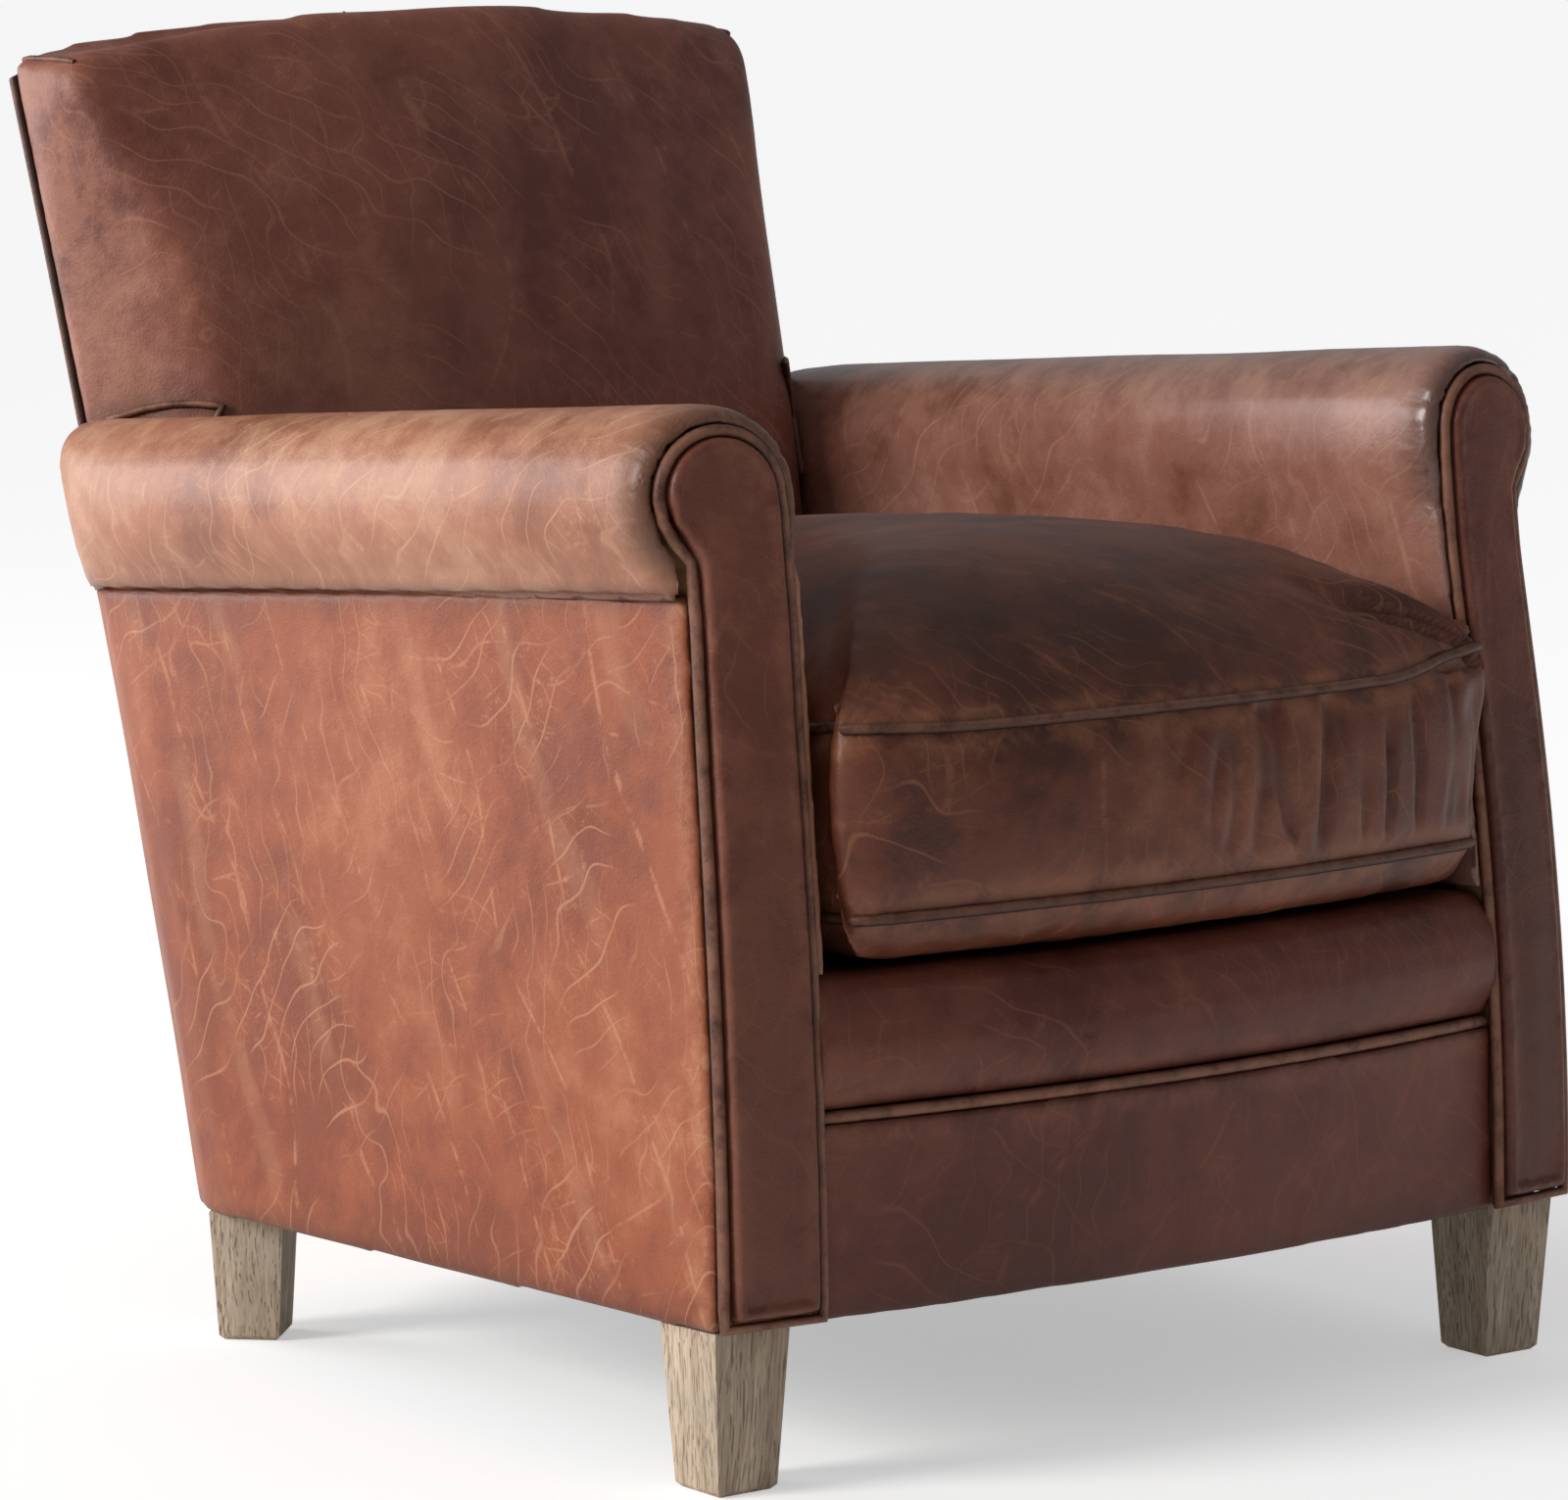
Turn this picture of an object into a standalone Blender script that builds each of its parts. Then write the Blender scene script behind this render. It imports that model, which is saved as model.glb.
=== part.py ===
# Worn leather club chair: a hardwood frame with springs and webbing, padded leather covers with
# welted seams, a loose boxed seat cushion and four tapered oak legs.
#
# Metres. X runs across the chair, -Y is its front, +Z is up and the floor is at Z = 0.
# The body is drawn square in a frame of its own, which leans back by the rake angle on the legs.
# A point there is (x, run, rise): run goes from the arm fronts to the back, rise goes up from the hem.

import math

import bmesh
import bpy
from mathutils import Matrix, Vector

# Stance
rake = math.radians(5.0)
hem_height = 0.108
hem_slope = 0.0594
hem_drop = 0.004

# Seat, from the front of the arms to the face of the back, which everything behind it follows
seat_depth = 0.600
back_stack = 0.061

# Fits and coverings
gap = 0.0003
leather = 0.006
arm_padding = 0.012
welt_radius = 0.004
slim_welt_radius = 0.0035
welt_forward = 0.003
cutter_overlap = 0.03

# Legs
leg_top = 0.0565
leg_foot = 0.0445
back_leg_top = 0.050
back_leg_foot = 0.041
leg_arris = 0.003
front_leg_x = 0.311
front_leg_run = 0.0415
back_leg_x = 0.303
back_leg_set = 0.021
back_leg_run = seat_depth - back_leg_set
back_leg_turn = math.radians(45.0)

# Leg bolts
bolt_radius = 0.004
bolt_in_leg = 0.040
bolt_in_block = 0.034
bolt_hole_reach = 0.06
bolt_hole_lead = 0.02

# Front surface of the arms: fullest at one rise, curling back above it, turned a little outwards
front_reach = 0.0127
front_reach_rise = 0.167
front_curl = 0.24
front_turn = 0.16

# Facing outline, measured to the outer edge of its welt
facing_foot_inner = 0.270
facing_foot_outer = 0.3435
facing_waist_inner = 0.2615
facing_waist_outer = 0.332
facing_waist_rise = 0.42
pinch_power = 2.2
scroll_x = 0.3065
scroll_rise = 0.4985
facing_scroll_radius = 0.044
facing_proud = 0.005
facing_depth = 0.0095
board_clearance = 0.0015
welt_clearance = 0.0006
facing_swell_foot = 0.012
facing_swell_top = 0.008
facing_side_lap = 0.0005

# Arm roll and inside arm
roll_radius = 0.056
roll_side_x = 0.345
roll_seam_drop = 0.0575
roll_seam_rise = scroll_rise - roll_seam_drop
roll_end_set = 0.016
roll_corner_radius = 0.12
inside_arm_end_set = 0.014
inside_arm_wall_x = 0.270
inside_arm_overhang = 0.008
inside_arm_rise = 0.208
arm_shelf_reach = arm_padding * 1.3
arm_cavity_step = seat_depth / 2
# Distances behind the arm's front, and before its rear end, each with the section's inset there
arm_front_stations = [(0.004, 0.007), (0.009, 0.0022), (0.020, 0.0)]
arm_rear_stations = [(0.060, 0.0), (0.020, 0.002), (0.006, 0.006), (0.0, 0.0115)]

# Outside arm and outside back
side_x = 0.343
corner_radius = 0.12
back_run_at_hem = seat_depth + back_stack
back_slope = 0.165
back_swell = 0.007
back_curve = 0.07
back_welt_low_x = 0.2715
back_welt_top_x = 0.287

# Inside back
back_half_width = 0.291
back_low_half_width = 0.2475
back_shoulder_clear = 0.011
back_shoulder_height = 0.048
back_shoulder_low = roll_seam_rise + back_shoulder_clear
back_shoulder_top = back_shoulder_low + back_shoulder_height
back_edge_radius = 0.028
back_edge_top_radius = 0.016
back_edge_set = 0.017
back_edge_ease_rise = 0.70
back_side_step = 0.012
back_welt_drop = 0.014
back_cut_clearance = 1.5 * gap
back_cut_reach = 0.08
back_cut_foot_rise = 0.15
back_foam = 0.035
back_rear_clearance = 0.0017
back_top_rise = 0.8265
back_crown = 0.028
back_foot_rise = 0.2085
# Shares of the back's height, each with the face's run as a share of the seat's depth
back_profile = [(0.242, 1.0), (0.484, 1.03), (0.678, 1.0617), (0.835, 1.1183), (0.968, 1.2033)]
# Shares of the back's height, each with the face's half width as a share of the top's
back_face_widths = [(0.242, 0.8505), (0.544, 0.8505), (0.678, 0.849), (0.835, 0.904), (0.968, 1.0)]

# Front rail, its apron and the lip roll above it
apron_foot_rise = -0.003
apron_top_rise = 0.116
apron_end_run = -0.002
apron_end_lean = 0.067
apron_bow = 0.022
apron_bow_growth = 0.125
rail_clearance = 0.0009
lip_top_rise = 0.205
lip_bulge = 0.012
lip_radius = 0.028
lip_front_set = 0.001
lip_foot_set = 0.004
lip_centre_share = 0.46
rail_end_clearance = 0.0035

# Seat cushion
cushion_side_gap = 0.0045
cushion_half_width = facing_waist_inner - inside_arm_overhang - cushion_side_gap
cushion_ear_reach = 0.018
cushion_front_half_width = cushion_half_width + cushion_ear_reach
cushion_front_run = -0.036
cushion_front_bow = 0.040
cushion_back_gap = 0.006
cushion_back_run = seat_depth - cushion_back_gap
cushion_corner_radius = 0.045
cushion_straight_front = 0.20
cushion_straight_back = 0.38
cushion_back_straight_x = 0.10
cushion_foot_rise = 0.2054
cushion_low_welt_rise = 0.2385
cushion_high_welt_rise = 0.350
cushion_crown = 0.112
cushion_ear_lift = 0.014
cushion_edge_set = 0.0015
cushion_edge_fall = 0.010
cushion_foot_inset = 0.060
cushion_foot_bulge_inset = 0.022
cushion_foot_bulge_rise = 0.006
# Insets of the crowned top, each with its share of the crown
cushion_dome = [(0.030, 0.30), (0.060, 0.55), (0.100, 0.78), (0.150, 0.93), (0.205, 1.0)]

# Hardwood frame
rail_thickness = 0.025
seat_rail_rise = 0.1177
deck_rail_rise = 0.153
front_rail_back_run = 0.035
seat_frame_rear_rise = 0.05
side_rail_outer_set = 0.014
side_rail_inner_set = 0.008
side_rail_inner_x = 0.2253
post_inner_x = 0.195
post_outer_x = 0.225
post_thickness = 0.030
post_top_drop = 0.0615
post_top_rise = back_top_rise - post_top_drop
post_foot_rise = 0.040
top_rail_height = 0.040
lower_back_rail_rise = 0.235
lower_back_rail_height = 0.040
arm_board_inset = 0.0075
arm_board_thickness = 0.022
arm_rail_width = 0.040
arm_rail_drop = 0.0285
arm_rail_rise = scroll_rise - arm_rail_drop
arm_rail_height = 0.030
arm_rail_inner_x = 0.285
arm_rail_end_set = 0.017
stump_inner_x = 0.290
stump_outer_x = 0.318
stump_front_set = 0.028
stump_depth = 0.030
stump_front_run = seat_depth - stump_front_set
stump_back_run = stump_front_run + stump_depth
tack_rail_outer_x = 0.296
tack_rail_rise = 0.211
tack_rail_height = 0.030
block_height = 0.050
block_outer_x = 0.335
front_block_back_run = 0.095
back_block_set = 0.060
back_block_front_run = seat_depth - back_block_set
back_block_outer_set = 0.005
back_block_straight = 0.020
back_block_cut_in = 0.045
back_block_cut_run = 0.090
back_block_length = 0.095

# Springs, webbing, deck and dust cover
spring_wire_radius = 0.002
spring_half_width = 0.024
spring_waves = 8
spring_crown = 0.030
spring_front_hold = 0.022
spring_rear_hold = 0.010
spring_count = 4
spring_edge_set = 0.103
webbing_width = 0.050
webbing_thickness = 0.0015
webbing_end_set = 0.004
webbing_x = [-0.125, 0.0, 0.125]
deck_half_width = 0.262
deck_top_rise = 0.2050
deck_tuck = 0.018
deck_back_run = seat_depth + deck_tuck
dust_cover_thickness = 0.0015
dust_cover_half_width = 0.325
dust_cover_clear = 0.002
dust_cover_front_run = 0.012
dust_cover_back_rise = 0.03
dust_cover_back_set = 0.03


def smooth_max(a, b, blend):
    return (a + b + math.sqrt((a - b) ** 2 + blend ** 2)) / 2


def smooth_min(a, b, blend):
    return -smooth_max(-a, -b, blend)


def ease(value, low, high):
    t = min(max((value - low) / (high - low), 0.0), 1.0)
    return t * t * (3 - 2 * t)


def hem(run):
    """Rise of the body's lower edge."""
    return hem_slope * run - hem_drop


def front_run(x, rise):
    """Run of the arm front's surface."""
    curl = front_curl * (smooth_min(rise, facing_waist_rise, 0.08) - front_reach_rise) ** 2 - front_reach
    return curl + front_turn * (abs(x) - scroll_x)


def back_run(rise):
    """Run of the outside back along the chair's middle."""
    swell = back_swell * ease(rise, roll_seam_rise, back_shoulder_top)
    return back_run_at_hem + back_slope * rise + back_curve * rise ** 2 + swell


def shell_run(x, rise):
    """Run of the outside back at any x, with the rounded rear corners."""
    past = max(abs(x) - (side_x - corner_radius), 0.0)
    return back_run(rise) - corner_radius + math.sqrt(corner_radius ** 2 - past ** 2)


def back_welt_x(rise):
    spread = ease(rise, back_shoulder_low, back_shoulder_top)
    return back_welt_low_x + (back_welt_top_x - back_welt_low_x) * spread


def crown_drop(x, rise):
    """How far the back's top has fallen away at x; nothing falls at shoulder height."""
    share = ease(rise, back_shoulder_top, back_top_rise)
    return share * back_crown * abs(x / back_half_width) ** 2.6


def along_profile(profile, height):
    """Value at a height on a smooth curve through a profile's points."""
    last = len(profile) - 2
    index = 0
    while index < last and height > profile[index + 1][0]:
        index += 1
    start, end = profile[index], profile[index + 1]
    before, after = profile[max(index - 1, 0)], profile[min(index + 2, last + 1)]
    width = end[0] - start[0]
    t = (height - start[0]) / width
    slope_start = (end[1] - before[1]) / (end[0] - before[0]) * width
    slope_end = (after[1] - start[1]) / (after[0] - start[0]) * width
    a = 2 * start[1] - 2 * end[1] + slope_start + slope_end
    b = 3 * (end[1] - start[1]) - 2 * slope_start - slope_end
    return ((a * t + b) * t + slope_start) * t + start[1]


def back_face_run(rise):
    """Run of the inside back's face along the chair's middle."""
    return seat_depth * along_profile(back_profile, rise / back_top_rise)


def back_face_half_width(rise):
    return back_half_width * along_profile(back_face_widths, rise / back_top_rise)


def half_chord(radius, rise, centre):
    return math.sqrt(max(radius ** 2 - (rise - centre) ** 2, 0.0))


def facing_edges(rise, inset):
    """Inner and outer x of the facing's outline at a rise, drawn in by the inset."""
    pinch = min(max(rise, 0.0) / facing_waist_rise, 1.0) ** pinch_power
    inner = facing_foot_inner + (facing_waist_inner - facing_foot_inner) * pinch + inset
    outer = facing_foot_outer + (facing_waist_outer - facing_foot_outer) * pinch - inset
    half = half_chord(facing_scroll_radius - inset, rise, scroll_rise)
    if rise >= scroll_rise:
        return scroll_x - half, scroll_x + half
    return min(inner, scroll_x - half), smooth_max(outer, scroll_x + half, 0.004)


def roll_edges(rise, inset):
    """Inner and outer x of the padded arm over the frame, drawn in by the inset."""
    half = half_chord(roll_radius - inset, rise, scroll_rise)
    if rise >= scroll_rise:
        return scroll_x - half, scroll_x + half
    inner = facing_edges(rise, 0.0)[0] - inside_arm_overhang + inset
    outer = roll_side_x - inset
    inner = smooth_min(inner, scroll_x - half, 0.006)
    return inner, smooth_max(outer, scroll_x + half, 0.006)


def rung_rises(foot, radius, steps):
    """Rises of an arm outline's rungs, straight to the scroll's centre and then round it."""
    rises = [foot + (scroll_rise - foot) * i / steps for i in range(steps + 1)]
    angles = [14, 28, 42, 55, 67, 78, 87]
    return rises + [scroll_rise + radius * math.sin(math.radians(a)) for a in angles]


def new_material(name, colour, roughness, metallic=0.0):
    material = bpy.data.materials.new(name)
    material.use_nodes = True
    shader = material.node_tree.nodes["Principled BSDF"]
    shader.inputs["Base Color"].default_value = (*colour, 1.0)
    shader.inputs["Roughness"].default_value = roughness
    shader.inputs["Metallic"].default_value = metallic
    return material


def add_mesh(name, points, faces, material, parent, side=1):
    """One closed piece from points and faces, mirrored across the chair for side -1."""
    mesh = bpy.data.meshes.new(name)
    mesh.from_pydata([(side * x, y, z) for x, y, z in points], [], faces)
    work = bmesh.new()
    work.from_mesh(mesh)
    bmesh.ops.recalc_face_normals(work, faces=work.faces)
    work.to_mesh(mesh)
    work.free()
    mesh.materials.append(material)
    mesh.shade_smooth()
    mesh.set_sharp_from_angle(angle=math.radians(40))
    piece = bpy.data.objects.new(name, mesh)
    bpy.context.collection.objects.link(piece)
    piece.parent = parent
    return piece


def loft(rings, cap=None):
    """Points and faces of a solid through closed rings of equal length, each end one face or the cap's."""
    count = len(rings[0])
    points = [point for ring in rings for point in ring]
    faces = []
    for row in range(len(rings) - 1):
        for i in range(count):
            j = (i + 1) % count
            start, above = row * count, (row + 1) * count
            faces.append((start + i, start + j, above + j, above + i))
    for start in (0, (len(rings) - 1) * count):
        for face in cap or [range(count)]:
            faces.append(tuple(start + i for i in face))
    return points, faces


def ladder_cap(count):
    """Faces across a ring that goes up one side and down the other, with count points a side."""
    return [(i, i + 1, 2 * count - 2 - i, 2 * count - 1 - i) for i in range(count - 1)]


def split_quads(points, faces):
    """The same solid with each four-sided face split along its first diagonal."""
    split = []
    for face in faces:
        if len(face) == 4:
            a, b, c, d = face
            split += [(a, b, c), (a, c, d)]
        else:
            split.append(face)
    return points, split


def slab(front, back):
    """Points and faces of a sheet between two grids of equal size, closed round its rim."""
    rows, columns = len(front), len(front[0])
    size = rows * columns
    points = [p for row in front for p in row] + [p for row in back for p in row]
    faces = []
    for r in range(rows - 1):
        for c in range(columns - 1):
            a, b = r * columns + c, r * columns + c + 1
            d, e = a + columns, b + columns
            faces.append((a, b, e, d))
            faces.append((size + a, size + d, size + e, size + b))
    rim = [c for c in range(columns)]
    rim += [r * columns + columns - 1 for r in range(1, rows)]
    rim += [(rows - 1) * columns + c for c in range(columns - 2, -1, -1)]
    rim += [r * columns for r in range(rows - 2, 0, -1)]
    for i, a in enumerate(rim):
        b = rim[(i + 1) % len(rim)]
        faces.append((a, size + a, size + b, b))
    return points, faces


def tube(path, radius, sides, closed=False):
    """Points and faces of a round tube along a path, its section carried along without twist."""
    path = [Vector(p) for p in path]
    count = len(path)
    tangents = []
    for i in range(count):
        ahead = path[(i + 1) % count] if closed or i < count - 1 else path[i]
        behind = path[i - 1] if closed or i > 0 else path[i]
        tangents.append((ahead - behind).normalized())
    normal = tangents[0].orthogonal().normalized()
    rings = []
    for point, tangent in zip(path, tangents):
        normal = (normal - tangent * normal.dot(tangent)).normalized()
        across = tangent.cross(normal)
        ring = []
        for k in range(sides):
            angle = 2 * math.pi * k / sides
            ring.append(point + radius * (math.cos(angle) * normal + math.sin(angle) * across))
        rings.append(ring)
    if not closed:
        return loft(rings)
    points, faces = loft(rings)
    faces = faces[:-2]
    first, last = 0, (count - 1) * sides
    shift = min(range(sides), key=lambda s: (rings[0][s] - rings[-1][0]).length)
    for k in range(sides):
        j = (k + 1) % sides
        a, b = last + k, last + j
        faces.append((a, b, first + (j + shift) % sides, first + (k + shift) % sides))
    return points, faces


def plan_prism(outline, low, high):
    """A solid on a plan outline of (x, run) points, between two functions of run."""
    bottom = [(x, run, low(run)) for x, run in outline]
    top = [(x, run, high(run)) for x, run in outline]
    return loft([bottom, top])


def box(x_range, run_range, rise_range):
    outline = [(x_range[0], run_range[0]), (x_range[1], run_range[0]),
               (x_range[1], run_range[1]), (x_range[0], run_range[1])]
    return plan_prism(outline, lambda run: rise_range[0], lambda run: rise_range[1])


def cut(piece, cutter):
    """Take the cutter out of the piece; the cutter stays as a hidden guide."""
    cutter.hide_render = True
    cutter.display_type = "WIRE"
    modifier = piece.modifiers.new("Cut by " + cutter.name, "BOOLEAN")
    modifier.operation = "DIFFERENCE"
    modifier.solver = "EXACT"
    modifier.object = cutter


def arm_ring(edges, inset, rises, place):
    """One ring round an arm outline: up its inner side and down its outer side."""
    inner = [(edges(rise, inset)[0], rise) for rise in rises]
    outer = [(edges(rise, inset)[1], rise) for rise in reversed(rises)]
    return [(x, place(x, rise), rise) for x, rise in inner + outer]


def roll_end_run(x, rise):
    """Run of the arm's rear end, which goes round the chair's rear corner."""
    past = min(max(abs(x) - (scroll_x + roll_radius - roll_corner_radius), 0.0), roll_corner_radius)
    arc = roll_corner_radius - math.sqrt(roll_corner_radius ** 2 - past ** 2)
    wall = inside_arm_end_set * (1 - ease(abs(x), inside_arm_wall_x, back_half_width + 0.004))
    return back_run(rise) - roll_end_set - max(arc, wall)


def arm_cover_solid():
    """The padded arm as a full solid, with its front lip and rear end rounded by ring insets."""
    rings = []
    for offset, inset in arm_front_stations:
        rings.append(cover_ring(inset, lambda x, rise: front_run(x, rise) + offset))
    for offset, inset in arm_rear_stations:
        rings.append(cover_ring(inset, lambda x, rise: roll_end_run(x, rise) - offset))
    last = len(rings[0]) - 1
    wall = [(0, 1, last - 1, last), (1, 2, last - 2, last - 1), (2, 3, last - 4, last - 3, last - 2)]
    roll = [(i, i + 1, last - 2 - i, last - 1 - i) for i in range(3, last // 2 - 1)]
    return loft(rings, wall + roll)


def cover_ring(inset, place):
    """Ring of the arm cover: inside arm, roll and the shelf under the roll at the side seam."""
    foot, seam = inside_arm_rise, roll_seam_rise
    rises = rung_rises(seam, roll_radius - inset, 4)
    inner_low = [foot, (foot + seam) / 2]
    wall_inset = min(inset, arm_padding / 4)
    ring = [(roll_edges(rise, wall_inset)[0], rise) for rise in inner_low + [seam]]
    ring += [(roll_edges(rise, inset)[0], rise) for rise in rises[1:]]
    ring += [(roll_edges(rise, inset)[1], rise) for rise in reversed(rises)]
    shelf = roll_edges(seam, 0.0)[0] + arm_shelf_reach
    ring += [(shelf, seam), (shelf, inner_low[1]), (shelf, foot)]
    return [(x, place(x, rise), rise) for x, rise in ring]


def cavity_solid():
    """Hollow of the arm cover, which the frame fills; it opens down and to the outer side."""
    foot = inside_arm_rise - arm_padding
    rises = rung_rises(foot, roll_radius - arm_padding, 9)
    rings = []
    for offset in (-cutter_overlap, arm_cavity_step):
        rings.append(arm_ring(roll_edges, arm_padding, rises, lambda x, rise: front_run(x, rise) + offset))
    rings.append(arm_ring(roll_edges, arm_padding, rises,
                          lambda x, rise: roll_end_run(x, rise) - arm_padding))
    return loft(rings, ladder_cap(len(rises)))


def facing_recess_solid():
    """Room for the facing and its welt in the front of the arm cover."""
    rises = rung_rises(inside_arm_rise - arm_padding, facing_scroll_radius + welt_clearance, 14)
    rings = []
    for offset in (-cutter_overlap, facing_depth + gap):
        rings.append(arm_ring(facing_edges, -welt_clearance, rises,
                              lambda x, rise: front_run(x, rise) + offset))
    return loft(rings, ladder_cap(len(rises)))


def back_ring(rise, inset, grow, rear):
    """Ring round the inside back at a rise: front face, soft edges, sides and rear."""
    spread = ease(rise, back_shoulder_low, back_shoulder_top)
    half = back_low_half_width + (back_half_width - back_low_half_width) * spread - inset + grow
    front_half = min(back_face_half_width(rise) - inset + grow, half)
    tightening = (back_edge_top_radius - back_edge_radius) * ease(rise, back_edge_ease_rise, back_top_rise)
    radius = back_edge_radius + tightening
    flat = front_half - radius
    face = back_face_run(rise) + inset - grow
    edge = face + back_edge_set
    right = [(flat * t, face + back_edge_set * t * t) for t in (0.0, 0.35, 0.7, 1.0)]
    for angle in (25, 50, 75):
        turn = math.radians(angle)
        right.append((flat + radius * math.sin(turn), edge + radius * (1 - math.cos(turn))))
    right.append((front_half + (half - front_half) * 0.3, edge + radius * 1.5))
    rear_points = []
    for x in reversed(shell_columns(half)[4:]):
        level = rise - crown_drop(x, rise)
        run = shell_run(min(x, back_half_width), level) - leather - back_rear_clearance
        rear_points.append((x, run - inset / 2))
    side_point = (half, rear_points[0][1] - back_side_step)
    rear_points = [side_point] + [(x, run + rear) for x, run in rear_points]
    ring = right + rear_points
    ring += [(-x, run) for x, run in reversed(ring[1:-1])]
    return [(x, run, rise - crown_drop(x, rise)) for x, run in ring]


def inside_back_solid(grow=0.0, rear=0.0, foot=back_foot_rise):
    shoulder = back_shoulder_low + 0.4 * back_shoulder_height
    below, above = back_shoulder_low - foot, back_top_rise - back_shoulder_top
    lower = [foot + below * share for share in (0.0, 0.38, 0.79, 1.0)]
    upper = [back_shoulder_top + above * share for share in (0.0, 0.18, 0.4, 0.61, 0.77)]
    rises = lower + [shoulder] + upper
    rings = [back_ring(rise, 0.0, grow, rear) for rise in rises]
    for below, inset in ((0.016, 0.0), (0.006, 0.0015), (0.0015, 0.005), (0.0, 0.012)):
        rings.append(back_ring(back_top_rise - below, inset, grow, rear))
    return split_quads(*loft(rings))


def inside_back_hollow():
    """Space behind the foam, open to the rear and downwards."""
    rings = []
    levels = [back_foot_rise - back_foam, back_shoulder_low, back_shoulder_top]
    above = back_top_rise - back_shoulder_top
    levels += [back_shoulder_top + above * share for share in (0.3, 0.6, 0.9)]
    for rise in levels:
        spread = ease(rise, back_shoulder_low, back_shoulder_top)
        half = back_low_half_width + (back_half_width - back_low_half_width) * spread
        half = min(half, back_face_half_width(rise)) - arm_padding
        face = back_face_run(rise) + back_foam
        ring = []
        for t in (-1.0, -0.5, 0.0, 0.5, 1.0):
            ring.append((half * t, face + back_edge_set * t * t))
        behind = back_run(rise) + cutter_overlap
        ring += [(half, behind), (-half, behind)]
        rings.append([(x, run, rise - crown_drop(x, rise)) for x, run in ring])
    return loft(rings)


def make_arm(side, name, parent, looks):
    cover = add_mesh("arm_cover_" + name, *arm_cover_solid(), looks["tan"], parent, side)
    hollow = add_mesh("arm_hollow_guide_" + name, *cavity_solid(), looks["tan"], parent, side)
    recess = add_mesh("facing_recess_guide_" + name, *facing_recess_solid(), looks["tan"], parent, side)
    room = inside_back_solid(back_cut_clearance, back_cut_reach, back_cut_foot_rise)
    back = add_mesh("back_clearance_guide_" + name, *room, looks["tan"], parent)
    for cutter in (hollow, recess, back):
        cut(cover, cutter)
    make_facing(side, name, parent, looks)
    make_outside_arm(side, name, parent, looks)
    make_arm_frame(side, name, parent, looks)


def make_facing(side, name, parent, looks):
    """Padded keyhole panel on the arm's front, and the welt round it."""
    inset = 2 * welt_radius + welt_clearance
    foot = hem(0.0) + inset
    rises = rung_rises(foot, facing_scroll_radius - inset, 12)
    front, back = [], []
    for rise in rises:
        inner, outer = facing_edges(rise, inset)
        front_row, back_row = [], []
        for t in (0.0, 0.12, 0.5, 0.88, 1.0):
            x = inner + (outer - inner) * t
            swell = facing_proud * (1 - (2 * t - 1) ** 6)
            swell *= min((rise - foot) / facing_swell_foot + 0.1, 1.0)
            swell *= min((rises[-1] - rise) / facing_swell_top + 0.1, 1.0)
            front_row.append((x, front_run(x, rise) - swell, rise))
            back_row.append((x, front_run(x, rise) + facing_depth, rise))
        front.append(front_row)
        back.append(back_row)
    add_mesh("arm_facing_" + name, *slab(front, back), looks["dark"], parent, side)
    rises = rung_rises(hem(0.0) + welt_radius, facing_scroll_radius - welt_radius, 12)
    path = arm_ring(facing_edges, welt_radius, rises, lambda x, rise: front_run(x, rise) + welt_forward)
    add_mesh("facing_welt_" + name, *tube(path, welt_radius, 6, closed=True), looks["welt"], parent, side)


def outside_arm_point(share, column, depth):
    """Point of the outside arm: columns 0 to 3 run straight back, 4 to 7 go round the corner."""
    top = roll_seam_rise - gap
    rise = share * top
    for _ in range(4):
        arc_run = back_run(rise) - corner_radius
        if column < 4:
            share_back = column / 3
            facing_x = facing_edges(rise, 0.0)[1] - facing_side_lap
            front_x = smooth_min(facing_x, side_x, 2 * facing_side_lap)
            x = front_x + (side_x - front_x) * min(2 * share_back, 1.0) - depth
            first = front_run(front_x, rise) + facing_depth - gap
            run = first + (arc_run - first) * share_back
        else:
            edge_x = back_welt_x(rise) + slim_welt_radius + 2 * gap
            radius = corner_radius - depth
            turn = math.acos((edge_x - side_x + corner_radius) / radius) * (column - 3) / 4
            x = side_x - corner_radius + radius * math.cos(turn)
            run = arc_run + radius * math.sin(turn)
        rise = hem(run) + (top - hem(run)) * share
    return (x, run, rise)


def outside_arm_grid(depth):
    """Outside arm from the facing's welt round the rear corner to the outside back's welt."""
    return [[outside_arm_point(level / 6, column, depth) for column in range(8)] for level in range(7)]


def make_outside_arm(side, name, parent, looks):
    add_mesh("outside_arm_" + name, *slab(outside_arm_grid(0.0), outside_arm_grid(leather)),
             looks["tan"], parent, side)


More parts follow.
